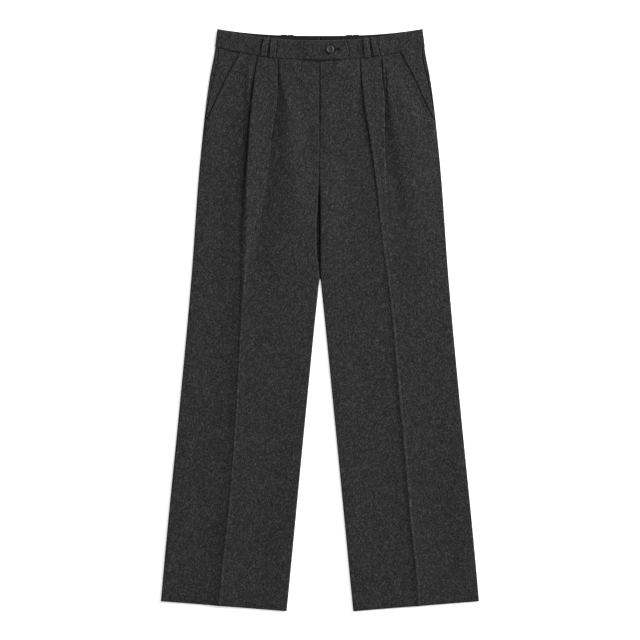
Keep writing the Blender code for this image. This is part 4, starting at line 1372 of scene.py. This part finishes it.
def horn_resin():
    """Polished resin with darker veins, like horn, and a painted highlight on its raised ring."""
    settings = bpy.context.scene.trousers_button
    make = Maker("button_resin", Specular_IOR_Level=0.32, Coat_Weight=0.05, Coat_Roughness=0.3)
    veins = make.noise(make.mapped((1.0, 0.35, 1.0), 0.6), 520.0, 4.0, 0.65)
    horn = make.ramp(veins, (0.36, settings.vein_colour), (0.62, settings.colour))
    scale = 1 / (BUTTON_RADIUS * MM)
    middle = make.add("Mapping", {
        "Vector": make.place, "Scale": (scale, scale, 0.0),
        "Location": (-BUTTON_X / BUTTON_RADIUS, -BUTTON_Y / BUTTON_RADIUS, 0.0)})
    radius = make.add("VectorMath", {0: middle}, "Value", operation="LENGTH")
    # painted highlight: the raised ring is coloured lighter, for the light it catches
    ring_highlight = make.ramp(radius, (0.54, (0, 0, 0)), (0.62, (1, 1, 1)), (0.76, (1, 1, 1)),
                     (0.86, (0, 0, 0)))
    gain = make.scaled(ring_highlight, settings.ring_highlight_gain, 1.0)
    scuffs = make.noise(make.place, 2200.0, 2.0, 0.5)
    return make.finish(make.vector("SCALE", {0: horn, "Scale": gain}),
                       make.scaled(scuffs, 0.2, settings.roughness - 0.1), scuffs, 0.00005, 0.4)


def dark_brass():
    """Aged brass with the zip's teeth pressed into it."""
    make = Maker("zip_brass", Metallic=1.0)
    teeth = make.wave("Y", Scale=105.0)
    tarnish = make.noise(make.place, 180.0, 4.0, 0.6)
    colour = make.ramp(tarnish, (0.35, (0.055, 0.045, 0.030)), (0.65, (0.19, 0.15, 0.09)))
    return make.finish(colour, make.scaled(tarnish, 0.3, 0.25), teeth, 0.0005, 0.8)


def matt_floor():
    """Plain pale floor."""
    settings = bpy.context.scene.trousers_studio
    make = Maker("floor", Specular_IOR_Level=0.1, Emission_Color=WHITE,
                 Emission_Strength=settings.floor_glow)
    grain = make.noise(make.place, 30.0, 2.0, 0.5)
    base = settings.floor_colour
    return make.finish(make.ramp(grain, (0.3, shaded(base, 0.995)), (0.7, base)),
                       make.scaled(grain, 0.05, 0.9))


# ---------------------------------------------------------------- pieces

class BuildBacks(Operator):
    """Both backs, with their darts, creases and turned-up hems"""
    bl_idname = "trousers.backs"
    bl_label = "Backs"

    def execute(self, context):
        values = rows_down(HEM_INNER_Y, CROTCH_Y)
        for half, side in SIDES.items():
            rows = [dressed_back(half, v) for v in values]
            piece = cloth(f"back_{half}", rows, side, flannel(), above=hem_layers(values))
        return {"FINISHED"}


class BuildPocketFacings(Operator):
    """The facing that shows in the mouth of each slant pocket"""
    bl_idname = "trousers.pocket_facings"
    bl_label = "Pocket facings"

    def execute(self, context):
        for half, side in SIDES.items():
            rows = [dressed_facing(half, v) for v in rows_down(FACING_END_V, FACING_END_V)]
            piece = cloth(f"pocket_facing_{half}", rows, side, flannel())
        return {"FINISHED"}


class BuildFly(Operator):
    """The shield behind the fly, and the closed zip on it"""
    bl_idname = "trousers.fly"
    bl_label = "Fly"

    def execute(self, context):
        rows = [shield_row(v) for v in rows_down(SHIELD_END_V, SHIELD_END_V)]
        piece = cloth("fly_shield", rows, 1, flannel())
        closed_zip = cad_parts["fly_zip"].data
        closed_zip.materials.clear()
        closed_zip.materials.append(dark_brass())
        return {"FINISHED"}


class BuildFronts(Operator):
    """Both fronts with their pleats, and the stitching of the fly and the pockets"""
    bl_idname = "trousers.fronts"
    bl_label = "Fronts"

    def execute(self, context):
        values = sorted({*rows_down(HEM_INNER_Y, CROTCH_Y), *POCKET_STEP_V}, reverse=True)
        for half, side in SIDES.items():
            rows = [dressed_front(half, v) for v in values]
            piece = cloth(f"front_{half}", rows, side, flannel(), below=hem_layers(values))
            sewing = Thread(piece)
            path = pocket_stitch(half)
            sewing.run(path)
            sewing.tack(*path[0], *POCKET_TACK)
            if half == "right":
                sewing.run(J_STITCH)
                x, y = J_STITCH[-1]
                sewing.tack(x - J_TACK_INSET, y, *J_TACK)
            stitches = sewing.piece(f"front_{half}_stitches", sewing_thread())
        return {"FINISHED"}


class BuildWaistband(Operator):
    """Both halves of the waistband, with the tab's buttonhole"""
    bl_idname = "trousers.waistband"
    bl_label = "Waistband"

    def execute(self, context):
        for half, side in SIDES.items():
            rows = [dressed_band(half, share) for share in band_shares()]
            # the band's inside takes the darker lining, part of whose darkness is painted shade
            piece = cloth(f"waistband_{half}", rows, side, flannel(), lining_and_painted_shade(),
                          half=BAND_THICK / 2)
            if half == "right":
                sewing = Thread(piece)
                sewing.purl()
                # partly painted shade: near-black silk round the buttonhole, for the shade in its
                # slit
                silk = sewing_thread("buttonhole_silk_painted_shade", SILK_PAINTED_SHADE, SILK_SHINE)
                sewing.piece("buttonhole_stitches", silk)
        return {"FINISHED"}


class BuildBeltLoops(Operator):
    """The belt loops, with their stitched edges and bar tacks"""
    bl_idname = "trousers.belt_loops"
    bl_label = "Belt loops"

    def execute(self, context):
        over = BAND_FRONT_Z + BAND_THICK + SEAM + LOOP_THICK / 2
        kinds = {"front": (over, LOOP_THICK), "back": (CLOTH / 2, CLOTH)}
        for half in SIDES:
            for where, (level, thick) in kinds.items():
                for place, line in LOOPS[where].items():
                    self.build(where, half, place, loop_rows(line, where, level), thick)
        return {"FINISHED"}

    def build(self, where, half, place, rows, thick):
        side = SIDES[half]
        node = f"belt_loop_{where}_{half}_{place}"
        # painted light: a lighter copy of the flannel on the belt loops
        piece = cloth(node, rows, side, flannel("belt_loop_flannel_painted_light", LOOP_PAINTED_LIGHT), half=thick / 2)
        sewing = Thread(piece, where == "front")
        middles = [row[len(row) // 2] for row in rows]
        tacks = [(side * u, y) for u, y, _ in (middles[LOOP_STITCH_ROWS],
                                               middles[-1 - LOOP_STITCH_ROWS])]
        for aside in (-LOOP_STITCH_X, LOOP_STITCH_X):
            sewing.run([(x + side * aside, y) for x, y in tacks])
        for x, y in tacks:
            sewing.tack(x, y, *LOOP_TACK)
        stitches = sewing.piece(f"{node}_stitches", sewing_thread())


class BuildButton(Operator):
    """The button on the tab, and the thread through its holes"""
    bl_idname = "trousers.button"
    bl_label = "Button"

    def execute(self, context):
        base = BAND_FRONT_Z + 2 * (BAND_THICK + SEAM)
        blank = self.turned("button_blank", [
            ring(BUTTON_X, BUTTON_Y, base + height * BUTTON_THICK, radius * BUTTON_RADIUS,
                 BUTTON_SIDES) for radius, height in BUTTON_RINGS])
        drills = []
        for across, along_y in ((-1, -1), (1, -1), (1, 1), (-1, 1)):
            x, y = BUTTON_X + across * HOLE_OFFSET, BUTTON_Y + along_y * HOLE_OFFSET
            drills.append(self.turned("drill", [
                ring(x, y, base + end * BUTTON_THICK, HOLE_R, HOLE_SIDES)
                for end in DRILL_ENDS]))
            hole = blank.modifiers.new("hole", "BOOLEAN")
            hole.operation = "DIFFERENCE"
            hole.object = drills[-1]
        context.view_layer.update()
        drilled = blank.evaluated_get(context.evaluated_depsgraph_get())
        mesh = bpy.data.meshes.new_from_object(drilled)
        for spent in drills + [blank]:
            bpy.data.objects.remove(spent, do_unlink=True)
        mesh.name = "button_drilled"
        mesh.materials.clear()
        mesh.materials.append(horn_resin())
        mesh.set_sharp_from_angle(angle=radians(BUTTON_SHARP))
        button = add_piece("button_drilled", mesh)
        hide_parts("button")

        sewing = Thread()
        face = base + BUTTON_THICK * BUTTON_RINGS[-1][1] - THREAD_RADIUS
        for across in (-HOLE_OFFSET, HOLE_OFFSET):
            for aside in (-THREAD_RADIUS, THREAD_RADIUS):
                ends = [Vector((BUTTON_X + across + aside, BUTTON_Y + end, face))
                        for end in (-HOLE_OFFSET, HOLE_OFFSET)]
                sewing.stitch(*ends, THREAD_RADIUS, THREAD_ARCH * THREAD_RADIUS)
        sewing.piece("button_thread", sewing_thread())
        return {"FINISHED"}

    def turned(self, name, rings):
        """A solid through rings of points."""
        points = [point for circle in rings for point in circle]
        return add_object(name, new_mesh(name, points, tube(rings)))


class BuildStudio(Operator):
    """The floor, the lights and the camera"""
    bl_idname = "trousers.studio"
    bl_label = "Studio"

    def execute(self, context):
        scene = context.scene
        settings = scene.trousers_studio
        floor = bmesh.new()
        bmesh.ops.create_grid(floor, x_segments=FLOOR_CELLS, y_segments=FLOOR_CELLS,
                              size=FLOOR_SIZE / 2, matrix=Matrix.Translation((0, 0, -FLOOR_GAP)))
        mesh = bpy.data.meshes.new("floor")
        floor.to_mesh(mesh)
        floor.free()
        mesh.materials.append(matt_floor())
        add_object("floor", mesh)

        turned, raised = (radians(angle) for angle in KEY_DIRECTION)
        key = self.lamp("key", "SUN", energy=settings.key_power, angle=radians(KEY_SPREAD))
        key.rotation_euler = (0, pi / 2 - raised, turned)
        fill = self.lamp("fill", "AREA", energy=settings.fill_power, shape="DISK", size=FILL_SIZE)
        fill.location = FILL_PLACE
        scene.world = bpy.data.worlds.new("studio")
        scene.world.use_nodes = True
        sky = scene.world.node_tree.nodes["Background"]
        sky.inputs["Color"].default_value = WHITE
        sky.inputs["Strength"].default_value = settings.sky
        scene.view_settings.view_transform = "Standard"

        lens = bpy.data.cameras.new("camera")
        lens.sensor_width = SENSOR
        lens.lens = SENSOR * settings.camera_height / FRAME_WIDTH
        lens.clip_end = CLIP_END
        scene.camera = add_object("camera", lens)
        scene.camera.location = (0.0, 0.0, settings.camera_height)
        return {"FINISHED"}

    def lamp(self, name, kind, **values):
        """A lamp with these values, looking straight down."""
        light = bpy.data.lights.new(name, kind)
        for key, value in values.items():
            setattr(light, key, value)
        return add_object(name, light)


class TrousersPanel(Panel):
    """The pieces of the trousers and their settings"""
    bl_idname = "VIEW3D_PT_trousers"
    bl_label = "Trousers"
    bl_space_type = "VIEW_3D"
    bl_region_type = "UI"
    bl_category = "Trousers"

    def draw(self, context):
        for group in SETTINGS:
            box = self.layout.box()
            values = getattr(context.scene, group)
            for name in values.__annotations__:
                box.prop(values, name)
        for step in STEPS:
            self.layout.operator(step.bl_idname)


STEPS = (BuildStudio, BuildBacks, BuildPocketFacings, BuildFly, BuildFronts, BuildWaistband,
         BuildBeltLoops, BuildButton)
SETTINGS = {
    "trousers_flannel": FlannelSettings,
    "trousers_stitching": StitchSettings,
    "trousers_button": ButtonSettings,
    "trousers_studio": StudioSettings,
}


def register():
    for group, settings in SETTINGS.items():
        bpy.utils.register_class(settings)
        setattr(bpy.types.Scene, group, PointerProperty(type=settings))
    for step in (*STEPS, TrousersPanel):
        bpy.utils.register_class(step)


def unregister():
    for step in (TrousersPanel, *reversed(STEPS)):
        bpy.utils.unregister_class(step)
    for group, settings in reversed(SETTINGS.items()):
        delattr(bpy.types.Scene, group)
        bpy.utils.unregister_class(settings)


def main():
    """Build the trousers and the studio."""
    register()
    bpy.ops.trousers.studio()
    bpy.ops.trousers.backs()
    bpy.ops.trousers.pocket_facings()
    bpy.ops.trousers.fly()
    bpy.ops.trousers.fronts()
    bpy.ops.trousers.waistband()
    bpy.ops.trousers.belt_loops()
    bpy.ops.trousers.button()


if __name__ == "__main__":
    main()
